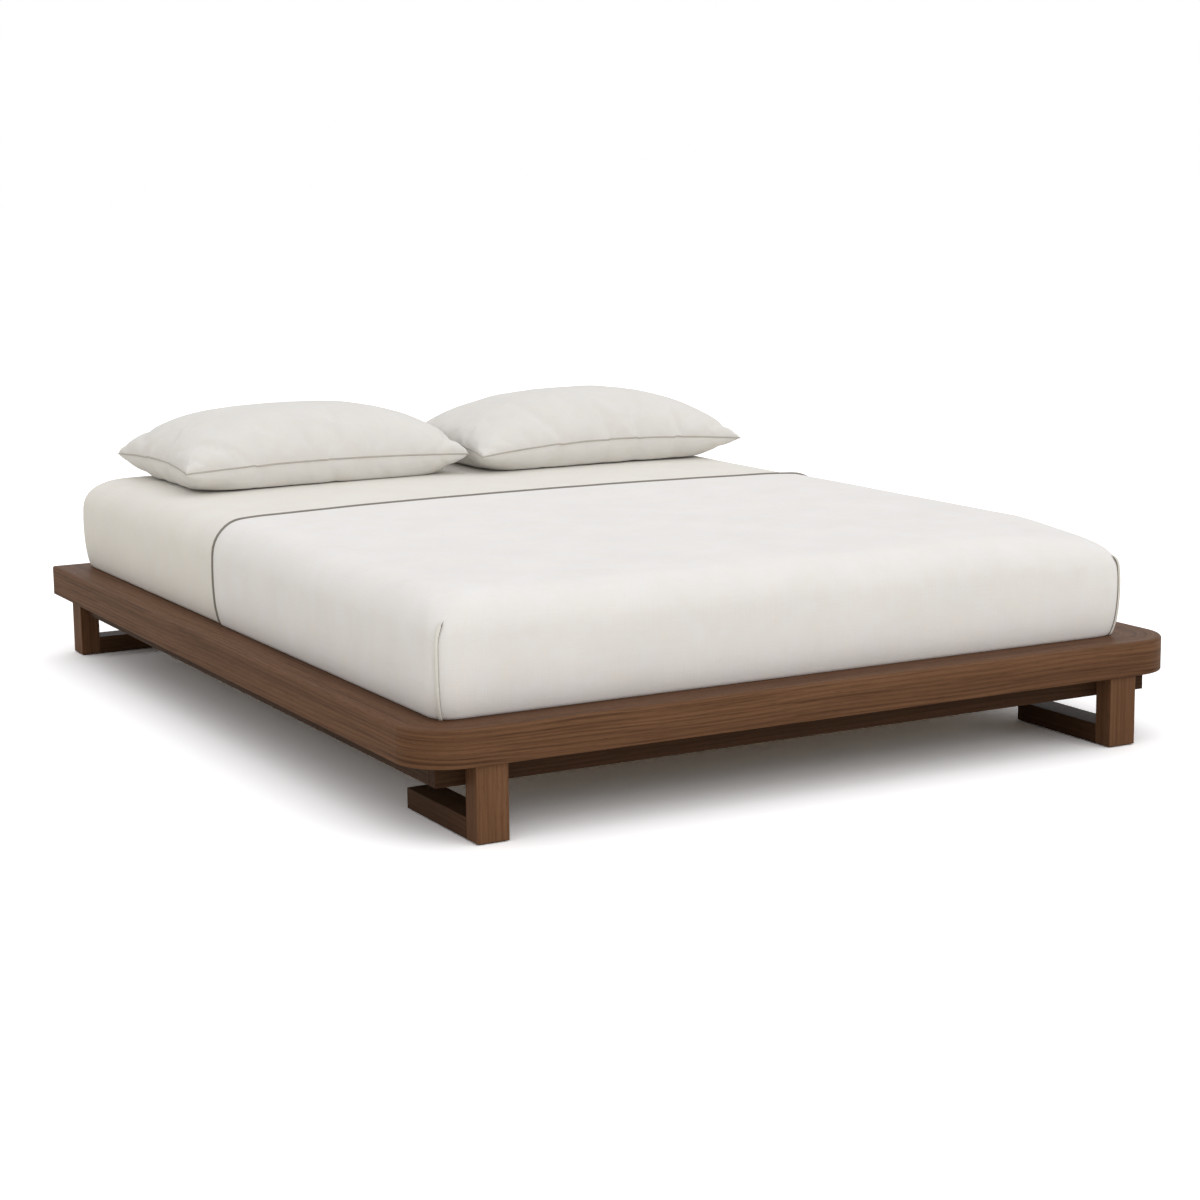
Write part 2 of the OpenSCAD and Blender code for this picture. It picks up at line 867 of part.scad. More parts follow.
module mattress_core() {
    rings = mattress_rings(0, 0);
    points = concat(flat_list(rings), [apex_at(0), [-mattress_off, mattress_y, mattress_z]]);
    apex = len(points) - 2;
    base = [for (j = [0:ring_n - 1]) [j, (j + 1) % ring_n, apex + 1]];
    color(foam) polyhedron(points, concat(dome_faces(0), base), convexity = 4);
}

// A cloth cap over the mattress between two offsets from it, open below
module cap_shell(inner, outer, lift) {
    out_points = concat(flat_list(mattress_rings(outer, lift)), [apex_at(outer)]);
    in_points = concat(flat_list(mattress_rings(inner, lift)), [apex_at(inner)]);
    n = len(out_points);
    rim = flipped(band(0, n, ring_n));
    polyhedron(
        concat(out_points, in_points),
        concat(dome_faces(0), flipped(dome_faces(n)), rim),
        convexity = 6
    );
}

sheet_in = soft_gap;
sheet_out = sheet_in + sheet_t;
coverlet_in = sheet_out + soft_gap;
coverlet_out = coverlet_in + coverlet_t;
hem_y = mattress_y - mattress_l / 2 + coverlet_l;

module fitted_sheet() {
    color(linen) cap_shell(sheet_in, sheet_out, bedding_lift);
}

// The coverlet is cut off straight at its hem, over the top and down both sides
module coverlet() {
    past = 50;
    color(quilt)
        intersection() {
            cap_shell(coverlet_in, coverlet_out, bedding_lift);
            translate([-half_w, -half_l - past, 0])
                cube([slab_w, hem_y + half_l + past, deck_h + mattress_t + past]);
        }
}

// A tube of radius r along points; ref is a direction that the points never run along
function tube_points(p, ref, r, sides, closed) =
    [for (i = [0:len(p) - 1], k = [0:sides - 1])
        let (
            n = len(p),
            before = closed ? p[(i + n - 1) % n] : p[max(i - 1, 0)],
            after = closed ? p[(i + 1) % n] : p[min(i + 1, n - 1)],
            t = unit(after - before),
            across = unit(cross(ref, t)),
            up = cross(t, across),
            a = 360 * k / sides
        )
        p[i] + r * (across * cos(a) + up * sin(a))];

module tube(p, ref, r, sides, closed) {
    n = len(p);
    last = closed ? n - 1 : n - 2;
    walls = [for (i = [0:last]) for (f = band(i * sides, ((i + 1) % n) * sides, sides)) f];
    start_cap = [for (k = [1:sides - 2]) [0, k, k + 1]];
    end_at = (n - 1) * sides;
    end_cap = [for (k = [1:sides - 2]) [end_at, end_at + k + 1, end_at + k]];
    polyhedron(
        tube_points(p, ref, r, sides, closed),
        closed ? walls : concat(walls, start_cap, end_cap),
        convexity = 6
    );
}

piping_sides = 6;
hem_n = 4;
piping_out = piping_d / 2 + piping_gap;

// The hem's piping lies on the sheet along the coverlet's edge: up one side, over the top and down the other
function hem_path() =
    let (
        o = sheet_out + soft_gap + piping_d / 2,
        side = [for (p = side_section(o)) [mattress_w / 2 + p[0], max(p[1], bedding_lift)]],
        back = [for (i = [len(side) - 1:-1:0]) side[i]],
        top = [for (i = [hem_n - 1:-1:1 - hem_n])
            let (x = rim_a * i / hem_n, s = max(abs(x) / rim_a, abs(hem_y - mattress_y) / rim_b))
            [x, crown_z(s, o)]]
    )
    [for (p = concat(side, top, [for (q = back) [-q[0], q[1]]]))
        [p[0] - mattress_off, hem_y + piping_out, mattress_z + p[1]]];

module coverlet_hem() {
    color(cord) tube(hem_path(), [0, -1, 0], piping_d / 2, piping_sides, false);
}

// A corner piping climbs the outside of the coverlet in the middle of a foot corner
module corner_piping(side) {
    o = coverlet_out + piping_out;
    top_z = mattress_t - corner_piping_drop;
    section = side_section(o);
    between = [for (p = section) if (p[1] > bedding_lift && p[1] < top_z) p[1]];
    heights = concat([bedding_lift], between, [top_z]);
    path = [for (z = heights)
        let (
            out = lookup(z, [for (p = section) [p[1], p[0]]]),
            inward = corner_turn(z, o) * (1 - sqrt(0.5)) - out
        )
        [inward - mattress_w / 2, mattress_y + inward - mattress_l / 2, mattress_z + z]];
    color(cord)
        translate([-mattress_off, 0, 0])
            on_side(side) tube(path, [1, -1, 0], piping_d / 2, piping_sides, false);
}

// Pillows: two panels joined at a piped seam, with drawn-in sides, over a filling

pillow_u = 12;
pillow_v = 8;

// How squarely a pillow's filling spreads towards its corners, and how steeply it rises from the seam
pillow_square = 2.6;
pillow_round = 0.52;

pillow_back_gaps = [pillow_left_back_gap, pillow_right_back_gap];
pillow_x = [-pillow_left_off, pillow_right_off];
pillow_y = [for (gap = pillow_back_gaps) mattress_y + mattress_l / 2 - gap - pillow_d / 2];

// The mattress rises towards its middle, so a pillow rests on it near its front
function pillow_z(side) =
    let (front_y = pillow_y[side] - pillow_d / 2 + pillow_pull_y)
    mattress_z + sheet_out + soft_gap + crown_z(abs(front_y - mattress_y) / rim_b, 0);

function grid_at(i, n) = sin(90 * (2 * i / n - 1));

// Plan, seam and faces of a pillow, where u and v run from -1 to 1 and o is the depth below the outside
function plan_x(u, v, o) = (pillow_w / 2 - o - pillow_pull_x * (1 - v * v)) * u;
function plan_y(u, v, o) = (pillow_d / 2 - o - pillow_pull_y * (1 - u * u)) * v;
function fullness(u, v) =
    pow((1 - pow(abs(u), pillow_square)) * (1 - pow(abs(v), pillow_square)), pillow_round);
function seam_z(u, v) = pillow_seat + pillow_lift * (1 - u * u * v * v);
function upper_z(u, v, o, rim) = seam_z(u, v) + max(rim, pillow_rise * fullness(u, v) - o);
function lower_z(u, v, o, rim) =
    min(seam_z(u, v) - rim, o + max(0, seam_z(u, v) - 2 * (pillow_seat + pillow_lift) * fullness(u, v)));

// Points of one face of a pillow, row by row from the front
function pillow_grid(upper, o, inset, rim) =
    [for (j = [0:pillow_v], i = [0:pillow_u])
        let (u = grid_at(i, pillow_u), v = grid_at(j, pillow_v))
        [plan_x(u, v, inset), plan_y(u, v, inset), upper ? upper_z(u, v, o, rim) : lower_z(u, v, o, rim)]];

// Triangles of a grid whose points start at a, seen from above, with each cell cut towards the nearest corner
function grid_faces(a) =
    let (row = pillow_u + 1)
    [for (j = [0:pillow_v - 1], i = [0:pillow_u - 1], t = [0, 1])
        let (p = a + j * row + i, rising = (i < pillow_u / 2) == (j < pillow_v / 2))
        rising
            ? (t == 0 ? [p, p + row, p + row + 1] : [p, p + row + 1, p + 1])
            : (t == 0 ? [p, p + row, p + 1] : [p + row, p + row + 1, p + 1])];

// The grid's border, anticlockwise from above
border = let (row = pillow_u + 1) concat(
    [for (i = [0:pillow_u - 1]) i],
    [for (j = [0:pillow_v - 1]) j * row + pillow_u],
    [for (i = [pillow_u:-1:1]) pillow_v * row + i],
    [for (j = [pillow_v:-1:1]) j * row]
);

function border_band(a, b) =
    [for (k = [0:len(border) - 1], t = [0, 1])
        let (p = border[k], q = border[(k + 1) % len(border)])
        t == 0 ? [a + p, b + q, a + q] : [a + p, b + p, b + q]];

module at_pillow(side) {
    translate([pillow_x[side], pillow_y[side], pillow_z(side)]) children();
}

pillow_grid_n = (pillow_u + 1) * (pillow_v + 1);
seam_half = 0.15;

module pillow_fill(side) {
    o = cover_t + soft_gap;
    rim = 2 * seam_half;
    color(foam)
        at_pillow(side)
            polyhedron(
                concat(pillow_grid(true, o, seam_w, rim), pillow_grid(false, o, seam_w, rim)),
                concat(
                    grid_faces(0),
                    flipped(grid_faces(pillow_grid_n)),
                    border_band(pillow_grid_n, 0)
                ),
                convexity = 4
            );
}

// The two panels meet along the seam, where each is only as thick as its own edge
module pillow_panel(side, upper) {
    outside = pillow_grid(upper, 0, 0, seam_half + cover_t);
    inside = pillow_grid(upper, cover_t, cover_t, seam_half);
    faces = concat(
        grid_faces(0),
        flipped(grid_faces(pillow_grid_n)),
        flipped(border_band(0, pillow_grid_n))
    );
    color(cotton)
        at_pillow(side)
            polyhedron(concat(outside, inside), upper ? faces : flipped(faces), convexity = 6);
}

module pillow_piping(side) {
    path = [for (k = border)
        let (
            u = grid_at(k % (pillow_u + 1), pillow_u),
            v = grid_at(floor(k / (pillow_u + 1)), pillow_v)
        )
        [plan_x(u, v, -piping_out), plan_y(u, v, -piping_out), seam_z(u, v)]];
    color(cord) at_pillow(side) tube(path, [0, 0, 1], piping_d / 2, piping_sides, true);
}

side_rail(0);  // rail_left
side_rail(1);  // rail_right
rail_foot();
rail_head();
side_apron(0);  // apron_left
side_apron(1);  // apron_right
apron_foot();
apron_head();
mitre_plate(0);  // mitre_plate_left
mitre_plate(1);  // mitre_plate_right
butt_plate(0);  // butt_plate_left
butt_plate(1);  // butt_plate_right
ledger(0);  // ledger_left
ledger(1);  // ledger_right
centre_beam();
beam_hanger(0);  // beam_hanger_foot
beam_hanger(1);  // beam_hanger_head
centre_leg(beam_legs_y[0]);  // centre_leg_foot
centre_leg(beam_legs_y[1]);  // centre_leg_head
for (i = [0:slat_count - 1]) slat(i);
for (i = [0:3]) leg_post(i);
for (i = [0:3]) leg_runner(i);
leg_dowels();
leg_bolts();
leg_washers();
leg_inserts();
floor_glides();
plate_screws();
apron_screws();
ledger_screws();
slat_screws();
mattress_core();
fitted_sheet();
coverlet();
coverlet_hem();
corner_piping(0);  // corner_piping_left
corner_piping(1);  // corner_piping_right
for (s = [0, 1]) pillow_fill(s);
for (s = [0, 1]) pillow_panel(s, true);
for (s = [0, 1]) pillow_panel(s, false);
for (s = [0, 1]) pillow_piping(s);
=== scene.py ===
"""Dresses the packed platform bed: its woods, steel and felt, and its bedding made in detail.

Lengths are in metres, on the frame's own axes: X across the bed, Y from the foot to the head and Z up.
"""

import math
from types import SimpleNamespace

import bmesh
import bpy
import numpy as np
from mathutils import Euler, Matrix, Vector, noise


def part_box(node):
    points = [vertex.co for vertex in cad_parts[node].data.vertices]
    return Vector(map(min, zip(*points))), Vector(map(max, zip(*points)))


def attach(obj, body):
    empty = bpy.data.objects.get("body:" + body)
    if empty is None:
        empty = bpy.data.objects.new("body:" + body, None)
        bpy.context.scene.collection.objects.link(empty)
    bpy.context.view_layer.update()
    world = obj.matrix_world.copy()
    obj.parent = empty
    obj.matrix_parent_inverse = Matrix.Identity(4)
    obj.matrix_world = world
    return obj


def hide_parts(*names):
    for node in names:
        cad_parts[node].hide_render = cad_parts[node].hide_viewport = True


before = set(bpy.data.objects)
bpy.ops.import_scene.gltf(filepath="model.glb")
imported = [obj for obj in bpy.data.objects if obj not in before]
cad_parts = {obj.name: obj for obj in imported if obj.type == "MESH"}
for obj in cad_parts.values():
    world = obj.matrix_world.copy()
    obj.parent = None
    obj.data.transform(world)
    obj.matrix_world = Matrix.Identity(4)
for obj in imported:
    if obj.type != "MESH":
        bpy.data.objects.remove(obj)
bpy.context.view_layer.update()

bl_info = {
    "name": "Platform Bed Dressing",
    "version": (1, 0, 0),
    "blender": (4, 5, 0),
    "location": "View3D > Sidebar > Platform Bed",
    "description": "Gives the packed platform bed its woods, its fittings and its bedding",
    "category": "Object",
}

SIDES = ("left", "right")
LEGS = ("foot_left", "foot_right", "head_left", "head_right")

# Of the packed model: radius of the slab's foot corners, and swell of the mattress's sides past its base
SLAB_CORNER = 0.1
CAD_SWELL = 0.011

# The waves of soft cloth: how many to a metre, and how high
BROAD_WAVE = (3.1, 0.0016)
FINE_WAVE = (11.0, 0.0006)

# Where the hem turns from the top down the sides, from before the edge to past it, and how long its ends are
HEM_TURN = (-0.12, 0.06)
HEM_END = 0.05

# Cells across and along a pillow's cover and its filling, and the steps in which the cover is inflated
COVER_CELLS = (92, 62)
FILLING_CELLS = (24, 16)
INFLATING_STEPS = 45

# How high the flat cover is domed before that, how wide the wrinkles are in cells, and their share underneath
START_DOME = 0.012
WRINKLE_CELLS = 5.0
WRINKLES_UNDER = 0.5

# Of the cords: sides of their rings. Of those up the corners: rings, and how far down they hook and taper
CORD_SIDES = 8
CLIMB_RINGS = 40
HOOK_LENGTH = 0.04
TAPER = 0.012

slab_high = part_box("rail_left")[1].copy()
slab_high.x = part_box("rail_right")[1].x
core_low, core_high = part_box("mattress_core")
hem_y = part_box("coverlet")[1].y


def srgb(red, green, blue):
    """A colour given by its 0 to 255 screen values, as Blender's linear values."""
    return tuple(((c / 255 + 0.055) / 1.055) ** 2.4 for c in (red, green, blue))


def opaque(colour, share=1.0):
    """A colour for a shader, with its values times a share."""
    return tuple(min(1.0, c * share) for c in colour) + (1.0,)


def added(name, data):
    """A new object of the scene."""
    thing = bpy.data.objects.new(name, data)
    bpy.context.scene.collection.objects.link(thing)
    return thing


def smooth_step(x, start, end):
    """0 before start and 1 past end, with a soft turn between them."""
    t = min(1.0, max(0.0, (x - start) / (end - start)))
    return t * t * (3 - 2 * t)


def colour_property(name, description, default):
    return bpy.props.FloatVectorProperty(
        name=name, description=description, subtype="COLOR", size=3, min=0, max=1, default=default
    )


def length_property(name, description, default):
    return bpy.props.FloatProperty(
        name=name, description=description, unit="LENGTH", subtype="DISTANCE", min=0, default=default
    )


def pair_property(name, description, default, unit="LENGTH"):
    """A measure of the left pillow and of the right one."""
    return bpy.props.FloatVectorProperty(
        name=name, description=description, unit=unit, size=2, min=0, default=default
    )


def factor_property(name, description, default, most=1.0):
    return bpy.props.FloatProperty(
        name=name, description=description, subtype="FACTOR", min=0, max=most, default=default
    )


def angle_property(name, description, degrees):
    return bpy.props.FloatProperty(
        name=name, description=description, unit="ROTATION", default=math.radians(degrees)
    )


class WoodSettings(bpy.types.PropertyGroup):
    """Colours and gloss of the woods."""

    heartwood: colour_property("Heartwood", "Main colour of the walnut", srgb(102, 72, 52))
    pale_bands: colour_property("Pale bands", "Colour of the walnut's lighter bands", srgb(119, 86, 62))
    streaks: colour_property("Streaks", "Colour of the walnut's dark streaks", srgb(55, 35, 23))
    roughness: factor_property("Roughness", "Roughness of the oiled walnut", 0.45)
    # Painted shade: the apron and runner shares darken the colours of the aprons and of the legs' runners,
    # which lie in shadow under the slab.
    apron_painted_shade: factor_property("Apron painted shade", "How much painted shade darkens the aprons", 0.6)
    runner_stain: factor_property("Runner painted shade", "How much painted shade darkens the legs' runners", 0.5)
    slats: colour_property("Slats", "Main colour of the poplar slats", srgb(214, 190, 150))
    slat_streaks: colour_property("Slat streaks", "Colour of the slats' grain", srgb(184, 154, 112))


class MattressSettings(bpy.types.PropertyGroup):
    """Shape of the mattress and what it wears."""

    swell: length_property("Swell", "How far the sides swell out past the base", 0.009)
    tuck: length_property("Tuck", "How far the sides draw in again just above the base", 0.003)
    tuck_height: length_property("Tuck height", "Height over which they do", 0.045)
    crown: length_property("Crown", "Rise of the top from its edge to its middle", 0.008)
    top_radius: length_property("Top radius", "Radius of the top edge", 0.062)
    corner_radius: length_property("Corner radius", "Radius of the upright corners at the base", 0.034)
    corner_soft: length_property("Corner softness", "How much wider the corners turn at the top", 0.028)
    base_radius: length_property("Base radius", "Radius of the edge that it rests on", 0.007)
    sheet_gap: length_property("Sheet gap", "Gap between the mattress and its sheet", 0.0003)
    sheet_thick: length_property("Sheet thickness", "Thickness of the fitted sheet", 0.0015)
    ticking: colour_property("Ticking", "Colour of the mattress's own cover", srgb(232, 226, 212))
    sheet: colour_property("Sheet", "Colour of the fitted sheet", srgb(232, 229, 222))


class CoverletSettings(bpy.types.PropertyGroup):
    """Shape and colour of the coverlet and its pipings."""

    gap: length_property("Gap", "Gap between the sheet and the coverlet", 0.0003)
    thick: length_property("Thickness", "Thickness of the coverlet", 0.0025)
    hem_ease: length_property("Hem ease", "How far forward the hem lies over the top", 0.008)
    hem_lag: length_property("Hem lag", "How much further forward it lies down the sides", 0.04)
    hem_kick: length_property("Hem kick", "How much further again at its lower ends", 0.006)
    droop: length_property("Droop", "How far the top sags at the right foot corner", 0.018)
    droop_reach: length_property("Droop reach", "Distance from the corner over which it sags", 0.3)
    piping: length_property("Piping", "Diameter of the hem's piping", 0.006)
    welt: length_property("Welt", "Diameter of the welts down the foot corners", 0.0075)
    hook: length_property("Hook", "How far the top end of each welt bends towards the middle", 0.014)
    piping_top: length_property("Piping top", "Height of the corner pipings above the base", 0.178)
    # Painted shadow: the corner seam is a dark cord laid beside each welt for the shadow that the raised welt
    # casts.
    seam: length_property("Corner seam", "Diameter of the seam beside each welt", 0.0028)
    seam_shift: length_property("Seam shift", "How far it lies from the welt", 0.0048)
    colour: colour_property("Coverlet", "Colour of the coverlet", srgb(237, 235, 233))
    # The hem's piping colour is partly painted shade: a taupe piping, darkened further for the shadow groove
    # along the hem.
    piping_colour: colour_property("Piping colour", "Colour of the hem's piping, darkened as painted shade", srgb(134, 129, 120))
    welt_colour: colour_property("Welt colour", "Colour of the corner welts", srgb(228, 225, 217))


class PillowSettings(bpy.types.PropertyGroup):
    """Shape and colour of the pillows. A pair of values is for the left and the right one."""

    width: pair_property("Width", "Width from corner to corner", (0.711, 0.722))
    depth: pair_property("Depth", "Depth from corner to corner", (0.49, 0.474))
    rise: pair_property("Rise", "Height of the crown above the seam", (0.112, 0.112))
    seat: pair_property("Seat", "Height of the seam at the corners", (0.049, 0.045))
    lift: pair_property("Lift", "How much higher the seam lies between the corners", (0.008, 0.016))
    draw_x: pair_property("Side draw", "How far the short sides are drawn in", (0.0186, 0.013))
    draw_y: pair_property("Front draw", "How far the long sides are drawn in", (0.021, 0.034))
    square: pair_property("Squareness", "How squarely the filling spreads to the corners", (2.8, 2.3), "NONE")
    rounding: pair_property("Rounding", "How gently the cover rises from the seam", (0.5, 0.53), "NONE")
    wrinkle: factor_property("Wrinkles", "Strength of the wrinkles of the inflated cover", 0.5, 2.0)
    piping: length_property("Piping", "Diameter of the piped seam", 0.0034)
    piping_colour: colour_property("Piping colour", "Colour of the piped seam", srgb(186, 180, 171))
    filling_gap: length_property("Filling gap", "How far the filling stays inside the cover", 0.006)
    colour: colour_property("Cover", "Colour of the pillow covers", srgb(226, 224, 220))
    filling: colour_property("Filling", "Colour of the fibre filling", srgb(240, 238, 230))


class StageSettings(bpy.types.PropertyGroup):
    """Camera, light and floor."""

    camera_place: bpy.props.FloatVectorProperty(
        name="Camera place",
        description="Where the camera stands",
        size=3,
        unit="LENGTH",
        default=(-2.593, -4.958, 1.196),
    )
    heading: angle_property("Heading", "Turn of the view from +Y towards +X", 28.4455)
    pitch: angle_property("Pitch", "Tilt of the view below level", 10.021)
    roll: angle_property("Roll", "Clockwise turn of the picture's edges", 0.725)
    lens: bpy.props.FloatProperty(
        name="Lens", description="Focal length on a 36 mm sensor, in millimetres", min=1, default=75.73
    )
    sky_low: factor_property("Sky low", "Strength of the light from the horizon", 0.485, 2.0)
    sky_top: factor_property("Sky top", "Strength of the light from straight overhead", 1.19, 2.0)
    sky_colour: colour_property("Sky colour", "Colour of the light from all round", (0.975, 0.97, 0.975))
    lamp: factor_property("Lamp", "Strength of the soft lamp at the foot", 0.61, 2.0)
    lamp_tilt: angle_property("Lamp tilt", "Tilt of the lamp from straight down", 60)
    lamp_heading: angle_property("Lamp heading", "Side that the lamp comes from, from +Y towards +X", 165)
    lamp_spread: angle_property("Lamp spread", "Apparent size of the lamp", 60)
    floor: factor_property("Floor", "How pale the floor looks", 1.36, 2.0)
    floor_bounce: colour_property("Floor bounce", "Light that the floor throws back up", (0.8, 0.77, 0.7))


class Graph:
    """Adds nodes to a node tree and joins them."""

    def __init__(self, tree):
        self.tree = tree

    def add(self, kind, inputs=None, **options):
        """A node with these options. An input is a value, or a socket that is joined to it."""
        node = self.tree.nodes.new(kind)
        for option, value in options.items():
            setattr(node, option, value)
        for socket, value in (inputs or {}).items():
            if isinstance(value, bpy.types.NodeSocket):
                self.tree.links.new(value, node.inputs[socket])
            else:
                node.inputs[socket].default_value = value
        return node

    def join(self, source, target):
        self.tree.links.new(source, target)

    def maths(self, operation, *values):
        return self.add("ShaderNodeMath", dict(enumerate(values)), operation=operation).outputs[0]

    def plus(self, a, b):
        return self.maths("ADD", a, b)

    def minus(self, a, b):
        return self.maths("SUBTRACT", a, b)

    def times(self, a, b):
        return self.maths("MULTIPLY", a, b)

    def reach(self, a, b):
        """Length of the long side of a right triangle."""
        return self.maths("SQRT", self.plus(self.maths("POWER", a, 2.0), self.maths("POWER", b, 2.0)))

    def vectors(self, operation, a, b):
        return self.add("ShaderNodeVectorMath", {0: a, 1: b}, operation=operation).outputs[0]

    def split(self, vector):
        return self.add("ShaderNodeSeparateXYZ", {0: vector}).outputs

    def joined(self, x, y, z):
        return self.add("ShaderNodeCombineXYZ", {0: x, 1: y, 2: z}).outputs[0]

    def place(self):
        return self.add("ShaderNodeTexCoord").outputs["Object"]

    def noise(self, vector, stretch, detail=2.0, roughness=0.5):
        """Noise from 0 to 1 whose frequency along each axis is given by stretch."""
        scaled = self.vectors("MULTIPLY", vector, stretch)
        settings = {"Vector": scaled, "Scale": 1.0, "Detail": detail, "Roughness": roughness}
        return self.add("ShaderNodeTexNoise", settings).outputs["Fac"]

    def spread(self, value, low, high, to_low=0.0, to_high=1.0):
        """value, with low to high stretched to to_low to to_high and held there."""
        settings = {0: value, 1: low, 2: high, 3: to_low, 4: to_high}
        return self.add("ShaderNodeMapRange", settings, clamp=True).outputs[0]

    def mix(self, share, a, b, blend="MIX"):
        """Colour a turning into b."""
        node = self.add("ShaderNodeMix", {0: share, 6: a, 7: b}, data_type="RGBA", blend_type=blend)
        return node.outputs[2]

    def group(self, name, build, inputs):
        """Outputs of a shared group, which is built when it is first asked for."""
        tree = bpy.data.node_groups.get(name) or build(name)
        return self.add("ShaderNodeGroup", inputs, node_tree=tree).outputs

    def bump(self, shader, height, strength, distance):
        """Gives a shader the relief of a height."""
        settings = {"Height": height, "Strength": strength, "Distance": distance}
        self.join(self.add("ShaderNodeBump", settings).outputs[0], shader.inputs["Normal"])


def new_group(name, inputs, outputs):
    """An empty shader node group, as (group, graph, its inputs' sockets by name, its output node)."""
    group = bpy.data.node_groups.new(name, "ShaderNodeTree")
    for way, sockets in (("INPUT", inputs), ("OUTPUT", outputs)):
        for socket, kind in sockets.items():
            group.interface.new_socket(name=socket, in_out=way, socket_type=f"NodeSocket{kind}")
    graph = Graph(group)
    given = graph.add("NodeGroupInput").outputs
    return group, graph, given, graph.add("NodeGroupOutput").inputs


def wood_grain_group(name):
    """Grain of a board that was sawn along X: growth rings round a far pith, streaks, fibres and pores."""
    group, g, given, out = new_group(
        name,
        {
            "Vector": "Vector",
            "Main": "Color",
            "Pale": "Color",
            "Dark": "Color",
            "Ring Pitch": "Float",
            "Streak Share": "Float",
            "Roughness": "Float",
        },
        {"Color": "Color", "Roughness": "Float", "Height": "Float"},
    )
    place = given["Vector"]
    wander = g.noise(place, (1.3, 3.0, 3.0))
    drift = g.noise(place, (0.8, 3.0, 5.0))
    shift = g.vectors("MULTIPLY", g.joined(0.0, wander, drift), (0.0, 0.035, 0.035))
    bent = g.vectors("ADD", place, shift)
    bands = g.spread(g.noise(bent, (0.6, 22.0, 22.0), detail=3.0), 0.36, 0.66)
    across = g.split(bent)
    turns = g.times(g.maths("DIVIDE", g.reach(across[1], across[2]), given["Ring Pitch"]), 2 * math.pi)
    uneven = g.times(g.noise(bent, (0.7, 25.0, 25.0)), 11.0)
    rings = g.maths("POWER", g.spread(g.maths("SINE", g.plus(turns, uneven)), -1.0, 1.0), 2.0)
    streaks = g.spread(g.noise(bent, (1.6, 170.0, 170.0), detail=4.0, roughness=0.6), 0.5, 0.7)
    dashes = g.spread(g.noise(bent, (9.0, 420.0, 420.0)), 0.56, 0.72)
    fibres = g.noise(place, (14.0, 850.0, 850.0))
    pores = g.spread(g.noise(place, (34.0, 1300.0, 1300.0), detail=1.0), 0.6, 0.7)
    colour = g.mix(bands, given["Main"], given["Pale"])
    for dark, share in ((rings, 0.5), (streaks, 1.0), (dashes, 0.6)):
        colour = g.mix(g.times(dark, g.times(given["Streak Share"], share)), colour, given["Dark"])
    colour = g.mix(g.spread(fibres, 0.3, 0.7, 0.0, 0.12), colour, given["Dark"])
    colour = g.mix(g.times(pores, 0.4), colour, given["Dark"])
    worn = g.plus(given["Roughness"], g.spread(fibres, 0.3, 0.7, -0.03, 0.05))
    g.join(colour, out["Color"])
    g.join(g.plus(worn, g.times(pores, 0.1)), out["Roughness"])
    g.join(g.minus(g.times(fibres, 0.4), pores), out["Height"])
    return group


def linen_weave_group(name):
    """Plain weave of slubby threads on flat cloth coordinates in metres."""
    group, g, given, out = new_group(
        name,
        {"Vector": "Vector", "Color": "Color", "Pitch": "Float"},
        {"Color": "Color", "Height": "Float"},
    )
    flat = given["Vector"]
    along = g.split(flat)
    threads = []
    for place, stretch in ((along[0], (60.0, 6.0, 1.0)), (along[1], (6.0, 60.0, 1.0))):
        wander = g.times(g.noise(flat, stretch), given["Pitch"])
        turns = g.maths("DIVIDE", g.plus(place, wander), given["Pitch"])
        threads.append(g.maths("SINE", g.times(turns, math.pi)))
    crossing = g.maths("MULTIPLY_ADD", g.times(*threads), 0.5, 0.5)
    slubs_u = g.spread(g.noise(flat, (9.0, 620.0, 1.0)), 0.35, 0.75)
    slubs_v = g.spread(g.noise(flat, (620.0, 9.0, 1.0)), 0.35, 0.75)
    slubs = g.maths("MAXIMUM", slubs_u, slubs_v)
    mottle = g.noise(flat, (7.0, 7.0, 1.0), detail=3.0, roughness=0.6)
    shade = g.plus(g.spread(mottle, 0.3, 0.7, 0.955, 1.0), g.times(crossing, 0.03))
    shade = g.minus(shade, g.times(slubs, 0.035))
    patches = g.noise(flat, (19.0, 19.0, 1.0), detail=4.0, roughness=0.6)
    warmth = g.spread(patches, 0.36, 0.68, 0.0, 0.045)
    tone = g.joined(shade, g.minus(shade, g.times(warmth, 0.4)), g.minus(shade, warmth))
    g.join(g.mix(1.0, given["Color"], tone, blend="MULTIPLY"), out["Color"])
    g.join(g.plus(crossing, g.times(slubs, 0.8)), out["Height"])
    return group


def new_material(name, settings):
    """A material whose Principled shader has these constant values, as (material, graph, shader)."""
    material = bpy.data.materials.new(name)
    material.use_nodes = True
    material.node_tree.nodes.clear()
    graph = Graph(material.node_tree)
    shader = graph.add("ShaderNodeBsdfPrincipled", settings)
    graph.add("ShaderNodeOutputMaterial", {"Surface": shader.outputs[0]})
    return material, graph, shader


GRAIN_TURNS = {
    "X": (0.0, 0.0, 0.0),
    "Y": (0.0, 0.0, -math.pi / 2),
    "Z": (0.0, math.pi / 2, 0.0),
    "foot": (0.0, 0.0, 0.0),
    "side": (0.0, 0.0, 0.0),
}
WRAPPED = {"foot": 0.0, "side": 1.0}


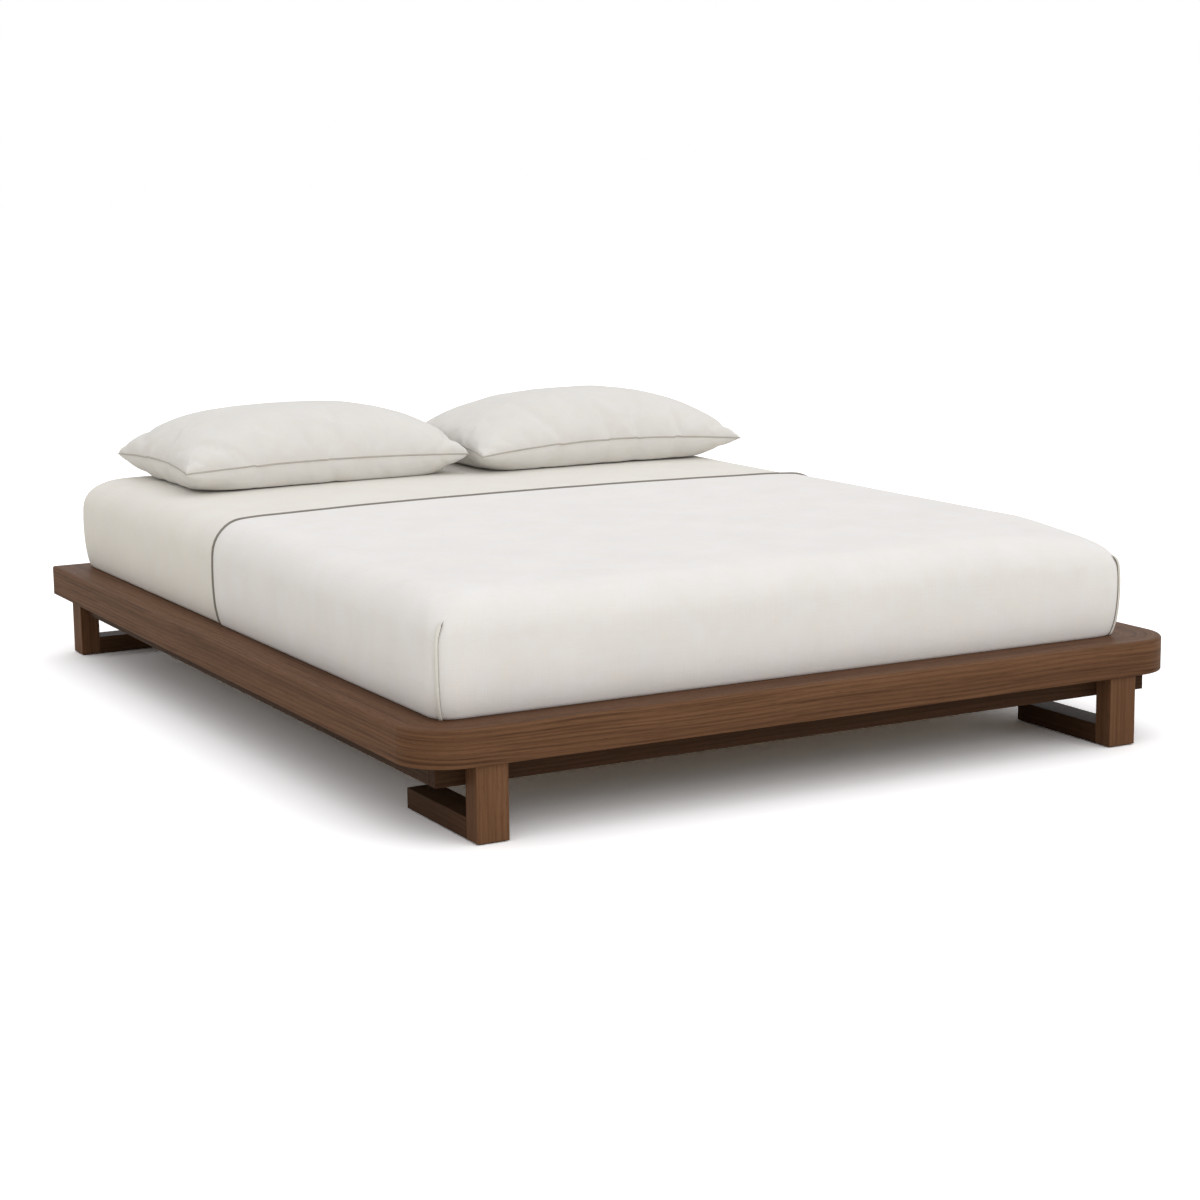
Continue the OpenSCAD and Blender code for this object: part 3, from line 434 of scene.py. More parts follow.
def corner_wrap_group(name):
    """Follows the slab's outline round its foot corners: (place along it, depth from the edge, height)."""
    sizes = {socket: "Float" for socket in ("Half Width", "Half Length", "Radius", "Side Board")}
    group, g, given, out = new_group(name, {"Vector": "Vector", **sizes}, {"Vector": "Vector"})
    place = g.split(given["Vector"])
    radius = given["Radius"]
    from_side = g.minus(given["Half Width"], g.maths("ABSOLUTE", place[0]))
    from_foot = g.plus(place[1], given["Half Length"])
    short_x = g.maths("MAXIMUM", g.minus(radius, from_side), 0.0)
    short_y = g.maths("MAXIMUM", g.minus(radius, from_foot), 0.0)
    angle = g.maths("ARCTAN2", g.plus(short_y, 1e-6), short_x)
    turned = g.times(g.minus(math.pi / 2, angle), radius)
    past_side = g.maths("MAXIMUM", g.minus(from_side, radius), 0.0)
    past_foot = g.maths("MAXIMUM", g.minus(from_foot, radius), 0.0)
    side = given["Side Board"]
    on_foot = g.minus(g.minus(given["Half Width"], radius), past_side)
    along = g.plus(g.plus(on_foot, turned), g.times(past_foot, side))
    along = g.times(along, g.maths("SIGN", place[0]))
    foot = g.minus(1.0, side)
    inner = g.plus(g.times(past_side, side), g.times(past_foot, foot))
    depth = g.plus(g.minus(radius, g.reach(short_x, short_y)), inner)
    g.join(g.joined(along, depth, place[2]), out["Vector"])
    return group


def grained(name, axis, pith, colours, ring_pitch, streak_share, roughness, specular):
    """A wood whose grain runs along an axis, or round the foot corners, with its rings round the pith."""
    material, g, shader = new_material(name, {"Specular IOR Level": specular})
    place = g.place()
    if axis in WRAPPED:
        sizes = {"Half Width": slab_high.x, "Half Length": slab_high.y, "Radius": SLAB_CORNER}
        followed = {"Vector": place, "Side Board": WRAPPED[axis], **sizes}
        place = g.group("Corner Wrap", corner_wrap_group, followed)[0]
    settings = {"Vector": place, "Rotation": GRAIN_TURNS[axis], "Location": pith}
    values = {"Vector": g.add("ShaderNodeMapping", settings, vector_type="POINT").outputs[0]}
    values.update(zip(("Main", "Pale", "Dark"), map(opaque, colours)))
    values.update({"Ring Pitch": ring_pitch, "Streak Share": streak_share, "Roughness": roughness})
    grain = g.group("Wood Grain", wood_grain_group, values)
    g.join(grain["Color"], shader.inputs["Base Color"])
    g.join(grain["Roughness"], shader.inputs["Roughness"])
    g.bump(shader, grain["Height"], strength=0.25, distance=0.0004)
    return material


def walnut(name, axis, pith, share, painted_shade=0.0):
    """The bed's walnut, its colours darkened by a share as painted shade where the board lies in shadow under
    the slab.
    """
    wood = bpy.context.scene.bed_wood
    plain = (wood.heartwood, wood.pale_bands, wood.streaks)
    # Painted shade: the colours are darkened by that share.
    colours = [tuple(c * (1 - painted_shade) for c in colour) for colour in plain]
    looks = {"streak_share": share, "roughness": wood.roughness, "specular": 0.04}
    return grained(name, axis, pith, colours, ring_pitch=0.0065, **looks)


def painted_shade_of(node):
    """How much painted shade darkens a walnut board: the aprons and the legs' runners lie in shadow under the
    slab.
    """
    wood = bpy.context.scene.bed_wood
    if "apron" in node:
        return wood.apron_painted_shade
    return wood.runner_stain if "runner" in node else 0.0


def slat_wood(name, axis, pith):
    """The pale wood of the deck."""
    wood = bpy.context.scene.bed_wood
    colours = (wood.slats, wood.slats, wood.slat_streaks)
    looks = {"streak_share": 0.4, "roughness": 0.6, "specular": 0.35}
    return grained(name, axis, pith, colours, ring_pitch=0.009, **looks)


def linen(name, colour, pitch, depth):
    """Woven cloth on a piece's own flat coordinates."""
    material, g, shader = new_material(
        name, {"Roughness": 0.92, "Sheen Weight": 0.2, "Sheen Roughness": 0.6, "Specular IOR Level": 0.2}
    )
    flat = g.add("ShaderNodeUVMap", uv_map="cloth").outputs[0]
    threads = {"Vector": flat, "Color": opaque(colour), "Pitch": pitch}
    weave = g.group("Linen Weave", linen_weave_group, threads)
    g.join(weave["Color"], shader.inputs["Base Color"])
    g.bump(shader, weave["Height"], strength=0.5, distance=depth)
    return material


def zinc_steel():
    """Zinc-plated steel with its fine cloudy spangle."""
    material, g, shader = new_material("zinc_steel", {"Metallic": 1.0})
    place = g.place()
    clouds = g.noise(place, (90.0, 90.0, 90.0), detail=3.0)
    scratches = g.noise(place, (900.0, 60.0, 400.0), detail=1.0)
    colour = g.mix(clouds, opaque(srgb(176, 180, 184)), opaque(srgb(206, 209, 212)))
    g.join(colour, shader.inputs["Base Color"])
    g.join(g.spread(clouds, 0.3, 0.7, 0.28, 0.45), shader.inputs["Roughness"])
    g.bump(shader, scratches, strength=0.1, distance=0.0002)
    return material


def felt():
    """Pressed grey felt with loose fibres."""
    material, g, shader = new_material("felt", {"Roughness": 0.95, "Sheen Weight": 0.3})
    place = g.place()
    fibres = g.noise(place, (700.0, 500.0, 700.0), detail=4.0, roughness=0.7)
    colour = g.mix(g.spread(fibres, 0.3, 0.7), opaque(srgb(66, 63, 60)), opaque(srgb(96, 92, 88)))
    g.join(colour, shader.inputs["Base Color"])
    g.bump(shader, fibres, strength=0.6, distance=0.001)
    return material


def piping_cloth(name, colour):
    """Bias-cut cloth drawn tight round a cord."""
    material, g, shader = new_material(name, {"Roughness": 0.9, "Sheen Weight": 0.15})
    place = g.place()
    threads = g.noise(place, (1300.0, 1300.0, 1300.0))
    wear = g.noise(place, (25.0, 25.0, 25.0))
    share = g.plus(g.spread(threads, 0.3, 0.7, 0.0, 0.7), g.spread(wear, 0.3, 0.7, 0.0, 0.3))
    g.join(g.mix(share, opaque(colour, 0.78), opaque(colour, 1.1)), shader.inputs["Base Color"])
    g.bump(shader, threads, strength=0.4, distance=0.0004)
    return material


def fibre_filling(colour):
    """Carded fibre, matted at its surface."""
    material, g, shader = new_material("fibre_filling", {"Roughness": 1.0, "Sheen Weight": 0.3})
    place = g.place()
    tufts = g.noise(place, (60.0, 60.0, 90.0), detail=5.0, roughness=0.7)
    shade = g.mix(g.spread(tufts, 0.3, 0.7), opaque(colour, 0.85), opaque(colour))
    g.join(shade, shader.inputs["Base Color"])
    g.bump(shader, tufts, strength=0.7, distance=0.004)
    return material


def pith_place(node, axis, shift, away):
    """Where a board's own grain is centred: shifted along it, with the pith that far away from its middle."""
    low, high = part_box(node)
    middle = Euler(GRAIN_TURNS[axis]).to_matrix() @ ((low + high) / 2)
    return (shift, away[0] - middle.y, away[1] - middle.z)


def finish_nodes(names, material):
    """Gives CAD nodes a material in place of their own."""
    for name in names:
        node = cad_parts[name]
        node.data.materials.clear()
        node.data.materials.append(material)


def new_piece(name, bm, body, stands_for, material):
    """A smooth piece made from a bmesh, which rides on a body in place of CAD nodes."""
    bmesh.ops.recalc_face_normals(bm, faces=bm.faces)
    mesh = bpy.data.meshes.new(name)
    bm.to_mesh(mesh)
    bm.free()
    mesh.materials.append(material)
    mesh.shade_smooth()
    piece = added(name, mesh)
    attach(piece, body)
    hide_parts(*stands_for)
    return piece


def add_subdivision(piece):
    modifier = piece.modifiers.new("Soften", "SUBSURF")
    modifier.levels = 1
    modifier.render_levels = 1


def add_thickness(piece, thickness):
    """Gives an open cloth its thickness, inwards from its outer face."""
    modifier = piece.modifiers.new("Thickness", "SOLIDIFY")
    modifier.thickness = thickness
    modifier.offset = -1


def mattress_form():
    """Sizes of the mattress, and of the box that its cover folds flat from."""
    given = bpy.context.scene.bed_mattress
    radius = given.top_radius
    edge_h = core_high.z - core_low.z - given.crown
    quarter = radius * math.pi / 2
    half_w = (core_high.x - core_low.x) / 2 - CAD_SWELL
    half_l = (core_high.y - core_low.y) / 2 - CAD_SWELL
    return SimpleNamespace(
        given=given,
        radius=radius,
        edge_h=edge_h,
        turn_h=edge_h - radius,
        quarter=quarter,
        half_w=half_w,
        half_l=half_l,
        rim_a=half_w - radius,
        rim_b=half_l - radius,
        fold_h=edge_h - radius + quarter / 2,
        fold_a=half_w - radius + quarter / 2,
        fold_b=half_l - radius + quarter / 2,
        middle_x=(core_low.x + core_high.x) / 2,
        middle_y=(core_low.y + core_high.y) / 2,
        base_z=core_low.z,
    )


def corner_radius(form, out, height, offset):
    """Radius of a ring's corners, which turn wider as it passes over the top edge."""
    if out > -form.radius:
        share = max(0.0, height - form.turn_h) / (form.radius + offset)
        return form.given.corner_radius + offset + form.given.corner_soft * min(1.0, share) ** 2
    widest = form.given.corner_radius + form.given.corner_soft
    return widest * max(0.0, (form.half_w + out) / form.rim_a)


def on_mattress(form, point, offset):
    """Where a point of the folding box lies on the mattress, with that much cloth on it."""
    inside = max(0.0, min(form.fold_a - abs(point.x), form.fold_b - abs(point.y)))
    run = point.z + inside
    turn = min(math.pi / 2, max(0.0, (run - form.turn_h) / form.radius))
    height = min(run, form.turn_h) + form.radius * math.sin(turn)
    swell = form.given.swell * max(0.0, math.sin(math.pi * min(1.0, height / form.edge_h))) ** 0.75
    swell -= form.given.tuck * max(0.0, 1 - height / form.given.tuck_height) ** 2
    out = swell + offset - (form.radius + offset) * (1 - math.cos(turn))
    out -= max(0.0, run - form.turn_h - form.quarter)
    height += offset * math.sin(turn)
    base = form.given.base_radius
    below = max(0.0, base - run)
    out -= base + offset - math.sqrt((base + offset) ** 2 - below**2)
    half_a = form.half_w + out
    half_b = form.half_l + out
    x = half_a * min(1.0, abs(point.x) / max(1e-6, form.fold_a - inside))
    y = half_b * min(1.0, abs(point.y) / max(1e-6, form.fold_b - inside))
    radius = corner_radius(form, out, height, offset)
    over_x = x - (half_a - radius)
    over_y = y - (half_b - radius)
    if over_x > 0 and over_y > 0:
        pull = radius / math.hypot(over_x, over_y)
        x = half_a - radius + over_x * pull
        y = half_b - radius + over_y * pull
    if turn >= math.pi / 2:
        rise = (1 - min(1.0, (x / form.rim_a) ** 2)) * (1 - min(1.0, (y / form.rim_b) ** 2))
        height += form.given.crown * rise
    x = math.copysign(x, point.x) + form.middle_x
    y = math.copysign(y, point.y) + form.middle_y
    place = Vector((x, y, form.base_z + height))
    return settled(form, place, height)


def settled(form, place, height):
    """A point of the bedding with the slight waves of cloth, and with the sag at the right foot corner."""
    cover = bpy.context.scene.bed_coverlet
    share = min(1.0, height / form.edge_h)
    side_x = form.middle_x + form.half_w
    far_x = smooth_step(place.x, side_x - cover.droop_reach, side_x - cover.droop_reach * 0.1)
    foot_y = form.middle_y - form.half_l
    near_y = 1 - smooth_step(place.y, foot_y + cover.droop_reach * 0.1, foot_y + cover.droop_reach)
    sag = cover.droop * far_x * near_y * share**2
    broad = BROAD_WAVE[1] * noise.noise(place * BROAD_WAVE[0] + Vector((4.0, 1.0, 0.0)))
    fine = FINE_WAVE[1] * noise.noise(place * FINE_WAVE[0] + Vector((0.0, 7.0, 2.0)))
    wave = (broad + fine) * math.sin(math.pi * min(0.5, share * 0.5 + 0.02))
    return place - Vector((0.0, 0.0, sag - wave * share))


def slice_bmesh(bm, place, normal, keep_outer=True):
    """Cuts a bmesh along a plane, and may drop what lies beyond it."""
    everything = [*bm.verts, *bm.edges, *bm.faces]
    plane = {"plane_co": place, "plane_no": normal}
    bmesh.ops.bisect_plane(bm, geom=everything, dist=1e-6, clear_outer=not keep_outer, **plane)


def folded_box(form, spacing, with_base):
    """The folding box as a grid of quads, with its flat pattern in the UV map "cloth"."""
    bm = bmesh.new()
    bmesh.ops.create_cube(bm, size=1.0)
    size = Vector((2 * form.fold_a, 2 * form.fold_b, form.fold_h))
    bmesh.ops.scale(bm, vec=size, verts=bm.verts)
    bmesh.ops.translate(bm, vec=(0, 0, form.fold_h / 2), verts=bm.verts)
    if not with_base:
        base = [f for f in bm.faces if f.normal.z < -0.5]
        bmesh.ops.delete(bm, geom=base, context="FACES_ONLY")
    for axis in range(3):
        cut = [e for e in bm.edges if abs(e.verts[0].co[axis] - e.verts[1].co[axis]) > size[axis] / 2]
        bmesh.ops.subdivide_edges(bm, edges=cut, cuts=round(size[axis] / spacing), use_grid_fill=True)
    for share in (0.25, 0.5, 0.8, 1.6, 3.0):
        slice_bmesh(bm, (0, 0, form.given.base_radius * share), (0, 0, 1))
    layer = bm.loops.layers.uv.new("cloth")
    for face in bm.faces:
        face.normal_update()
        for loop in face.loops:
            loop[layer].uv = flat_place(form, loop.vert.co, face.normal)
    return bm


def flat_place(form, point, normal):
    """Where a point of the folding box lies in the flat cut."""
    down = form.fold_h - point.z
    if abs(normal.x) > 0.5:
        return (math.copysign(form.fold_a + down, normal.x), point.y)
    if abs(normal.y) > 0.5:
        return (point.x, math.copysign(form.fold_b + down, normal.y))
    return (point.x, point.y)


def wrapped(form, bm, offset):
    """Lays a folding box on the mattress."""
    for vert in bm.verts:
        vert.co = on_mattress(form, vert.co, offset)


def tube(path, radii, closed=False, up=Vector((0, 0, 1))):
    """A bmesh tube along points, with a radius at each of them. The path never runs along up."""
    bm = bmesh.new()
    count = len(path)

    def frame_at(i):
        before = path[i - 1] if closed or i > 0 else path[i]
        after = path[(i + 1) % count] if closed or i < count - 1 else path[i]
        along = (after - before).normalized()
        across = up.cross(along).normalized()
        axes = Matrix((across, along.cross(across), along)).transposed()
        return Matrix.Translation(path[i]) @ axes.to_4x4() @ Matrix.Scale(radii[i], 4)

    ring = bmesh.ops.create_circle(bm, cap_ends=False, segments=CORD_SIDES, radius=1.0)["verts"]
    edges = list(bm.edges)
    first = list(edges)
    here = frame_at(0)
    bmesh.ops.transform(bm, matrix=here, verts=ring)
    for i in range(1, count):
        made = bmesh.ops.extrude_edge_only(bm, edges=edges)["geom"]
        ring = [g for g in made if isinstance(g, bmesh.types.BMVert)]
        edges = [g for g in made if isinstance(g, bmesh.types.BMEdge)]
        edges = [e for e in edges if all(v in ring for v in e.verts)]
        there = frame_at(i)
        bmesh.ops.transform(bm, matrix=there @ here.inverted(), verts=ring)
        here = there
    if closed:
        bmesh.ops.bridge_loops(bm, edges=first + edges)
    else:
        bmesh.ops.holes_fill(bm, edges=bm.edges, sides=CORD_SIDES)
    return bm


def coverlet_offsets():
    """How far above the mattress the coverlet's inner and outer faces lie."""
    mattress = bpy.context.scene.bed_mattress
    cover = bpy.context.scene.bed_coverlet
    inner = mattress.sheet_gap + mattress.sheet_thick + cover.gap
    return inner, inner + cover.thick


def on_coverlet(form, point, offset):
    """A point of the folding box on the coverlet, whose hem is pulled forward down the sides."""
    cover = bpy.context.scene.bed_coverlet
    place = on_mattress(form, point, offset)
    foot = form.middle_y - form.half_l
    share = max(0.0, (place.y - foot) / (hem_y - foot))
    past_edge = (form.fold_h - point.z) - (form.fold_a - abs(point.x))
    pull = cover.hem_ease + cover.hem_lag * smooth_step(past_edge, *HEM_TURN)
    pull += cover.hem_kick * smooth_step(past_edge, form.fold_h - HEM_END, form.fold_h)
    place.y -= pull * share**2
    return place


def corner_climb(form, sign, radius, shift, outer):
    """Path and radii of a cord up a foot corner of the coverlet, shifted towards the middle of the foot."""
    top = bpy.context.scene.bed_coverlet.piping_top
    hook = bpy.context.scene.bed_coverlet.hook
    path = []
    radii = []
    for z in np.linspace(0.001, top, CLIMB_RINGS):
        bend = hook * smooth_step(z, top - HOOK_LENGTH, top + TAPER)
        edge = Vector((sign * (form.fold_a - shift - bend), -form.fold_b, z))
        path.append(on_coverlet(form, edge, outer + radius * 0.3))
        radii.append(radius * (1 - smooth_step(z, top - TAPER, top) * 0.9))
    return path, radii


def box_line(form, y, spacing):
    """Points of the folding box on a line across it at y, from its left base over to its right base."""
    rise = np.linspace(0, form.fold_h, round(form.fold_h / spacing) + 1)
    cross = np.linspace(-form.fold_a, form.fold_a, round(2 * form.fold_a / spacing) + 1)
    left = [Vector((-form.fold_a, y, z)) for z in rise]
    top = [Vector((x, y, form.fold_h)) for x in cross[1:-1]]
    right = [Vector((form.fold_a, y, z)) for z in rise[::-1]]
    return left + top + right


def pillow_form(side):
    """Sizes and place of a pillow, 0 for the left one and 1 for the right one."""
    given = bpy.context.scene.bed_pillows
    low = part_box(f"pillow_{SIDES[side]}_lower_panel")[0]
    seam_low, seam_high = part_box(f"pillow_{SIDES[side]}_piping")
    names = ("width", "depth", "rise", "seat", "lift", "draw_x", "draw_y", "square", "rounding")
    sizes = {name: getattr(given, name)[side] for name in names}
    middle = Vector(((seam_low.x + seam_high.x) / 2, (seam_low.y + seam_high.y) / 2, low.z))
    return SimpleNamespace(side=side, middle=middle, **sizes)


def pillow_point(form, u, v, upper, inset=0.0):
    """A point of a pillow's upper or lower panel, where u and v run from -1 to 1."""
    x = (form.width / 2 - inset - form.draw_x * (1 - v * v)) * u
    y = (form.depth / 2 - inset - form.draw_y * (1 - u * u)) * v
    full = max(0.0, (1 - abs(u) ** form.square) * (1 - abs(v) ** form.square)) ** form.rounding
    seam = form.seat + form.lift * (1 - u * u * v * v)
    if upper:
        z = seam + max(0.0, form.rise * full - inset)
    else:
        z = min(seam, inset + max(0.0, seam - 2 * (form.seat + form.lift) * full))
    return np.array((x, y, z))


def even_steps(form, count, along_x):
    """Values from -1 to 1 at which the cover's cross-section is cut into even lengths."""
    fine = np.sin(np.linspace(-math.pi / 2, math.pi / 2, 401))
    line = np.array([pillow_point(form, t if along_x else 0.0, 0.0 if along_x else t, True) for t in fine])
    run = np.append(0.0, np.cumsum(np.linalg.norm(np.diff(line, axis=0), axis=1)))
    return np.interp(np.linspace(0, run[-1], count + 1), run, fine), run[-1]


def blurred(grid, cells):
    """A grid of points with what is finer than a few cells taken out."""
    reach = int(3 * cells)
    kernel = np.exp(-0.5 * (np.arange(-reach, reach + 1) / cells) ** 2)
    kernel /= kernel.sum()
    for axis in (0, 1):
        rows = np.moveaxis(grid, axis, 0)
        before = 2 * rows[:1] - rows[reach:0:-1]
        after = 2 * rows[-1:] - rows[-2 : -reach - 2 : -1]
        long = np.concatenate((before, rows, after))
        rows = sum(k * long[i : i + len(rows)] for i, k in enumerate(kernel))
        grid = np.moveaxis(rows, 0, axis)
    return grid


class Cover:
    """A pillow cover: two grids of the same cells, sewn together along their borders."""

    def __init__(self, columns, rows):
        self.columns = columns
        self.rows = rows
        self.bm = bmesh.new()
        self.places = []
        for upper in (True, False):
            made = bmesh.ops.create_grid(self.bm, x_segments=columns, y_segments=rows, size=1.0)["verts"]
            if not upper:
                bmesh.ops.reverse_faces(self.bm, faces=list({f for v in made for f in v.link_faces}))
            for vert in made:
                vert.co.z = 1.0 if upper else -1.0
        self.flat = self.bm.loops.layers.uv.new("cloth")
        for face in self.bm.faces:
            for loop in face.loops:
                loop[self.flat].uv = loop.vert.co.xy
        border = [v for v in self.bm.verts if max(abs(v.co.x), abs(v.co.y)) > 1 - 1e-6]
        for vert in border:
            vert.co.z = 0.0
        bmesh.ops.remove_doubles(self.bm, verts=border, dist=1e-6)
        self.bm.verts.index_update()
        for vert in self.bm.verts:
            column = round((vert.co.x + 1) / 2 * columns)
            row = round((vert.co.y + 1) / 2 * rows)
            self.places.append((row, column, vert.co.z))

    def set_flat(self, width, depth):
        """Scales the flat coordinates to the real size of the cut."""
        for face in self.bm.faces:
            for loop in face.loops:
                u, v = loop[self.flat].uv
                loop[self.flat].uv = (u * width / 2, v * depth / 2)

    def shape(self, upper, lower):
        """Moves the cover to two grids of points, which agree along their borders."""
        for vert, (row, column, level) in zip(self.bm.verts, self.places):
            vert.co = Vector((upper if level >= 0 else lower)[row, column])

    def grids(self, points):
        """The two grids of a list of points in the cover's own order."""
        upper = np.zeros((self.rows + 1, self.columns + 1, 3))
        lower = np.zeros_like(upper)
        for point, (row, column, level) in zip(points, self.places):
            if level >= 0:
                upper[row, column] = point
            if level <= 0:
                lower[row, column] = point
        return upper, lower


def inflated_wrinkles(cover, width, depth, side):
    """Inflates two flat panels that are sewn together, and returns what their wrinkles add to each panel."""
    u = np.linspace(-1, 1, cover.columns + 1)
    v = np.linspace(-1, 1, cover.rows + 1)
    grid_v, grid_u = np.meshgrid(v, u, indexing="ij")
    dome = START_DOME * (1 - grid_u**4) * (1 - grid_v**4)
    uneven = np.array([[noise.noise(Vector((a * 7 + 31 * side, b * 5, 3.0))) for a in u] for b in v])
    flat = np.stack((grid_u * width / 2, grid_v * depth / 2, dome * (1 + 0.5 * uneven)), axis=2)
    under = flat * np.array((1.0, 1.0, -1.0))
    cover.shape(flat, under)
    mesh = bpy.data.meshes.new("inflating")
    cover.bm.to_mesh(mesh)
    pad = added("inflating", mesh)
    seam = pad.vertex_groups.new(name="seam")
    for index, (row, column, level) in enumerate(cover.places):
        if level == 0:
            seam.add([index], 1.0, "REPLACE")
    cloth = pad.modifiers.new("Cloth", "CLOTH")
    settings = cloth.settings
    settings.quality = 6
    settings.mass = 0.2
    settings.tension_stiffness = 30
    settings.compression_stiffness = 30
    settings.shear_stiffness = 8
    settings.bending_stiffness = 0.4
    settings.air_damping = 2
    settings.use_pressure = True
    settings.uniform_pressure_force = 6
    settings.effector_weights.gravity = 0
    settings.vertex_group_shrink = "seam"
    settings.shrink_min = 0.0
    settings.shrink_max = 0.06
    cloth.collision_settings.use_collision = False
    cloth.point_cache.frame_start = 1
    cloth.point_cache.frame_end = INFLATING_STEPS
    for number in range(1, INFLATING_STEPS + 1):
        bpy.context.scene.frame_set(number)
    shown = pad.evaluated_get(bpy.context.evaluated_depsgraph_get())
    points = np.array([tuple(vert.co) for vert in shown.data.vertices])
    bpy.data.objects.remove(pad)
    bpy.context.scene.frame_set(1)
    return [grid - blurred(grid, WRINKLE_CELLS) for grid in cover.grids(points)]


def make_pillow(side, cloth, piping, filling):
    """One pillow: its sewn cover, the piped seam round it and the filling in it."""
    given = bpy.context.scene.bed_pillows
    form = pillow_form(side)
    name = f"pillow_{SIDES[side]}"
    columns, rows = COVER_CELLS
    steps_u, width = even_steps(form, columns, True)
    steps_v, depth = even_steps(form, rows, False)
    cover = Cover(columns, rows)
    upper = np.array([[pillow_point(form, u, v, True) for u in steps_u] for v in steps_v])
    lower = np.array([[pillow_point(form, u, v, False) for u in steps_u] for v in steps_v])
    above, below = inflated_wrinkles(cover, width, depth, side)
    upper += above * given.wrinkle
    lower += below * given.wrinkle * WRINKLES_UNDER
    seam = (upper + lower) / 2
    for edge in (np.s_[0, :], np.s_[-1, :], np.s_[:, 0], np.s_[:, -1]):
        upper[edge] = seam[edge]
        lower[edge] = seam[edge]
    lower[:, :, 2] = np.maximum(lower[:, :, 2], 0.0)
    middle = np.array(form.middle)
    cover.shape(upper + middle, lower + middle)
    cover.set_flat(width, depth)
    nodes = [f"{name}_upper_panel", f"{name}_lower_panel"]
    piece = new_piece(f"{name}_cover", cover.bm, name, nodes, cloth)
    add_subdivision(piece)

    border = [upper[0, i] for i in range(columns)]
    border += [upper[j, columns] for j in range(rows)]
    border += [upper[rows, i] for i in range(columns, 0, -1)]
    border += [upper[j, 0] for j in range(rows, 0, -1)]
    radius = given.piping / 2
    path = [Vector(p + middle) for p in border]
    path = [p + (p - form.middle).normalized() * radius * 0.5 for p in path]
    corners = (0, columns, columns + rows, 2 * columns + rows)
    near = [min(min(abs(i - c), len(path) - abs(i - c)) for c in corners) for i in range(len(path))]
    radii = [radius * (1.25 if n == 0 else 1.1 if n == 1 else 1.0) for n in near]
    seam_bm = tube(path, radii, closed=True)
    new_piece(f"{name}_seam", seam_bm, name, [f"{name}_piping"], piping)

    core = Cover(*FILLING_CELLS)
    u_core = even_steps(form, core.columns, True)[0]
    v_core = even_steps(form, core.rows, False)[0]
    gap = given.filling_gap
    grids = [
        np.array([[pillow_point(form, u, v, above, gap) for u in u_core] for v in v_core]) + middle
        for above in (True, False)
    ]
    core.shape(*grids)
    batting = new_piece(f"{name}_filling", core.bm, name, [f"{name}_fill"], filling)
    add_subdivision(batting)


class BED_OT_walnut(bpy.types.Operator):
    """Give the platform, its aprons and its legs their walnut, with the grain along each board"""

    bl_idname = "bed.walnut"
    bl_label = "Finish Walnut"

    def execute(self, context):
        for node in ("rail_foot", "rail_left", "rail_right"):
            axis = "foot" if node == "rail_foot" else "side"
            finish_nodes([node], walnut(f"walnut_{node}", axis, pith=(3.0, 0.5, 0.33), share=0.6))
        grain = {"rail_head": "X"}
        grain.update({"apron_foot": "X", "apron_head": "X", "apron_left": "Y", "apron_right": "Y"})
        for leg in LEGS:
            grain[f"leg_post_{leg}"] = "Z"
            grain[f"leg_runner_{leg}"] = "Y" if leg.startswith("foot") else "X"
        for index, (node, axis) in enumerate(grain.items()):
            pith = pith_place(node, axis, 1.7 * index, (0.46 + 0.03 * (index % 3), 0.52 - 0.04 * (index % 4)))
            share = 0.35 if node.startswith("leg") else 0.5
            # The aprons and the runners get their painted shade here.
            finish_nodes([node], walnut(f"walnut_{node}", axis, pith, share, painted_shade_of(node)))
        return {"FINISHED"}


class BED_OT_deck(bpy.types.Operator):
    """Give the slats, ledgers, beam, centre legs and dowels their pale wood"""

    bl_idname = "bed.deck"
    bl_label = "Finish Deck"

    def execute(self, context):
        slats = sorted(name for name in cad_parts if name.startswith("slat_") and name != "slat_screws")
        for index, name in enumerate(slats):
            pith = (0.7 * index, 0.1 * index, -0.12 - 0.01 * index)
            finish_nodes([name], slat_wood(f"wood_{name}", "X", pith))
        along = slat_wood("wood_along", "Y", (0.4, 0.2, -0.1))
        finish_nodes(["ledger_left", "ledger_right", "centre_beam"], along)
        upright = slat_wood("wood_upright", "Z", (0.1, 0.08, 0.05))
        finish_nodes(["centre_leg_foot", "centre_leg_head"], upright)
        finish_nodes(["leg_dowels"], slat_wood("dowel_wood", "Z", (0.3, 0.02, 0.03)))
        return {"FINISHED"}


class BED_OT_fittings(bpy.types.Operator):
    """Give the plates, hangers, bolts and screws their zinc plating, and the glides their felt"""

    bl_idname = "bed.fittings"
    bl_label = "Finish Fittings"

    def execute(self, context):
        plates = [f"{kind}_plate_{side}" for kind in ("mitre", "butt") for side in SIDES]
        hangers = ["beam_hanger_foot", "beam_hanger_head"]
        bolted = ["leg_bolts", "leg_washers", "leg_inserts"]
        screws = [f"{kind}_screws" for kind in ("plate", "apron", "ledger", "slat")]
        finish_nodes(plates + hangers + bolted + screws, zinc_steel())
        finish_nodes(["floor_glides"], felt())
        return {"FINISHED"}


class BED_OT_mattress(bpy.types.Operator):
    """Make the mattress and the fitted sheet that is drawn over it"""

    bl_idname = "bed.mattress"
    bl_label = "Make Mattress"

    def execute(self, context):
        form = mattress_form()
        core = folded_box(form, spacing=0.05, with_base=True)
        wrapped(form, core, 0.0)
        ticking = linen("ticking", form.given.ticking, pitch=0.0022, depth=0.0006)
        name = "mattress_core_dressed"
        piece = new_piece(name, core, "mattress", ["mattress_core"], ticking)
        add_subdivision(piece)

        sheet = folded_box(form, spacing=0.024, with_base=False)
        wrapped(form, sheet, form.given.sheet_gap + form.given.sheet_thick)
        cotton = linen("sheet_cotton", form.given.sheet, pitch=0.0011, depth=0.0004)
        cloth = new_piece("fitted_sheet_dressed", sheet, "mattress", ["fitted_sheet"], cotton)
        add_subdivision(cloth)
        add_thickness(cloth, form.given.sheet_thick)
        return {"FINISHED"}


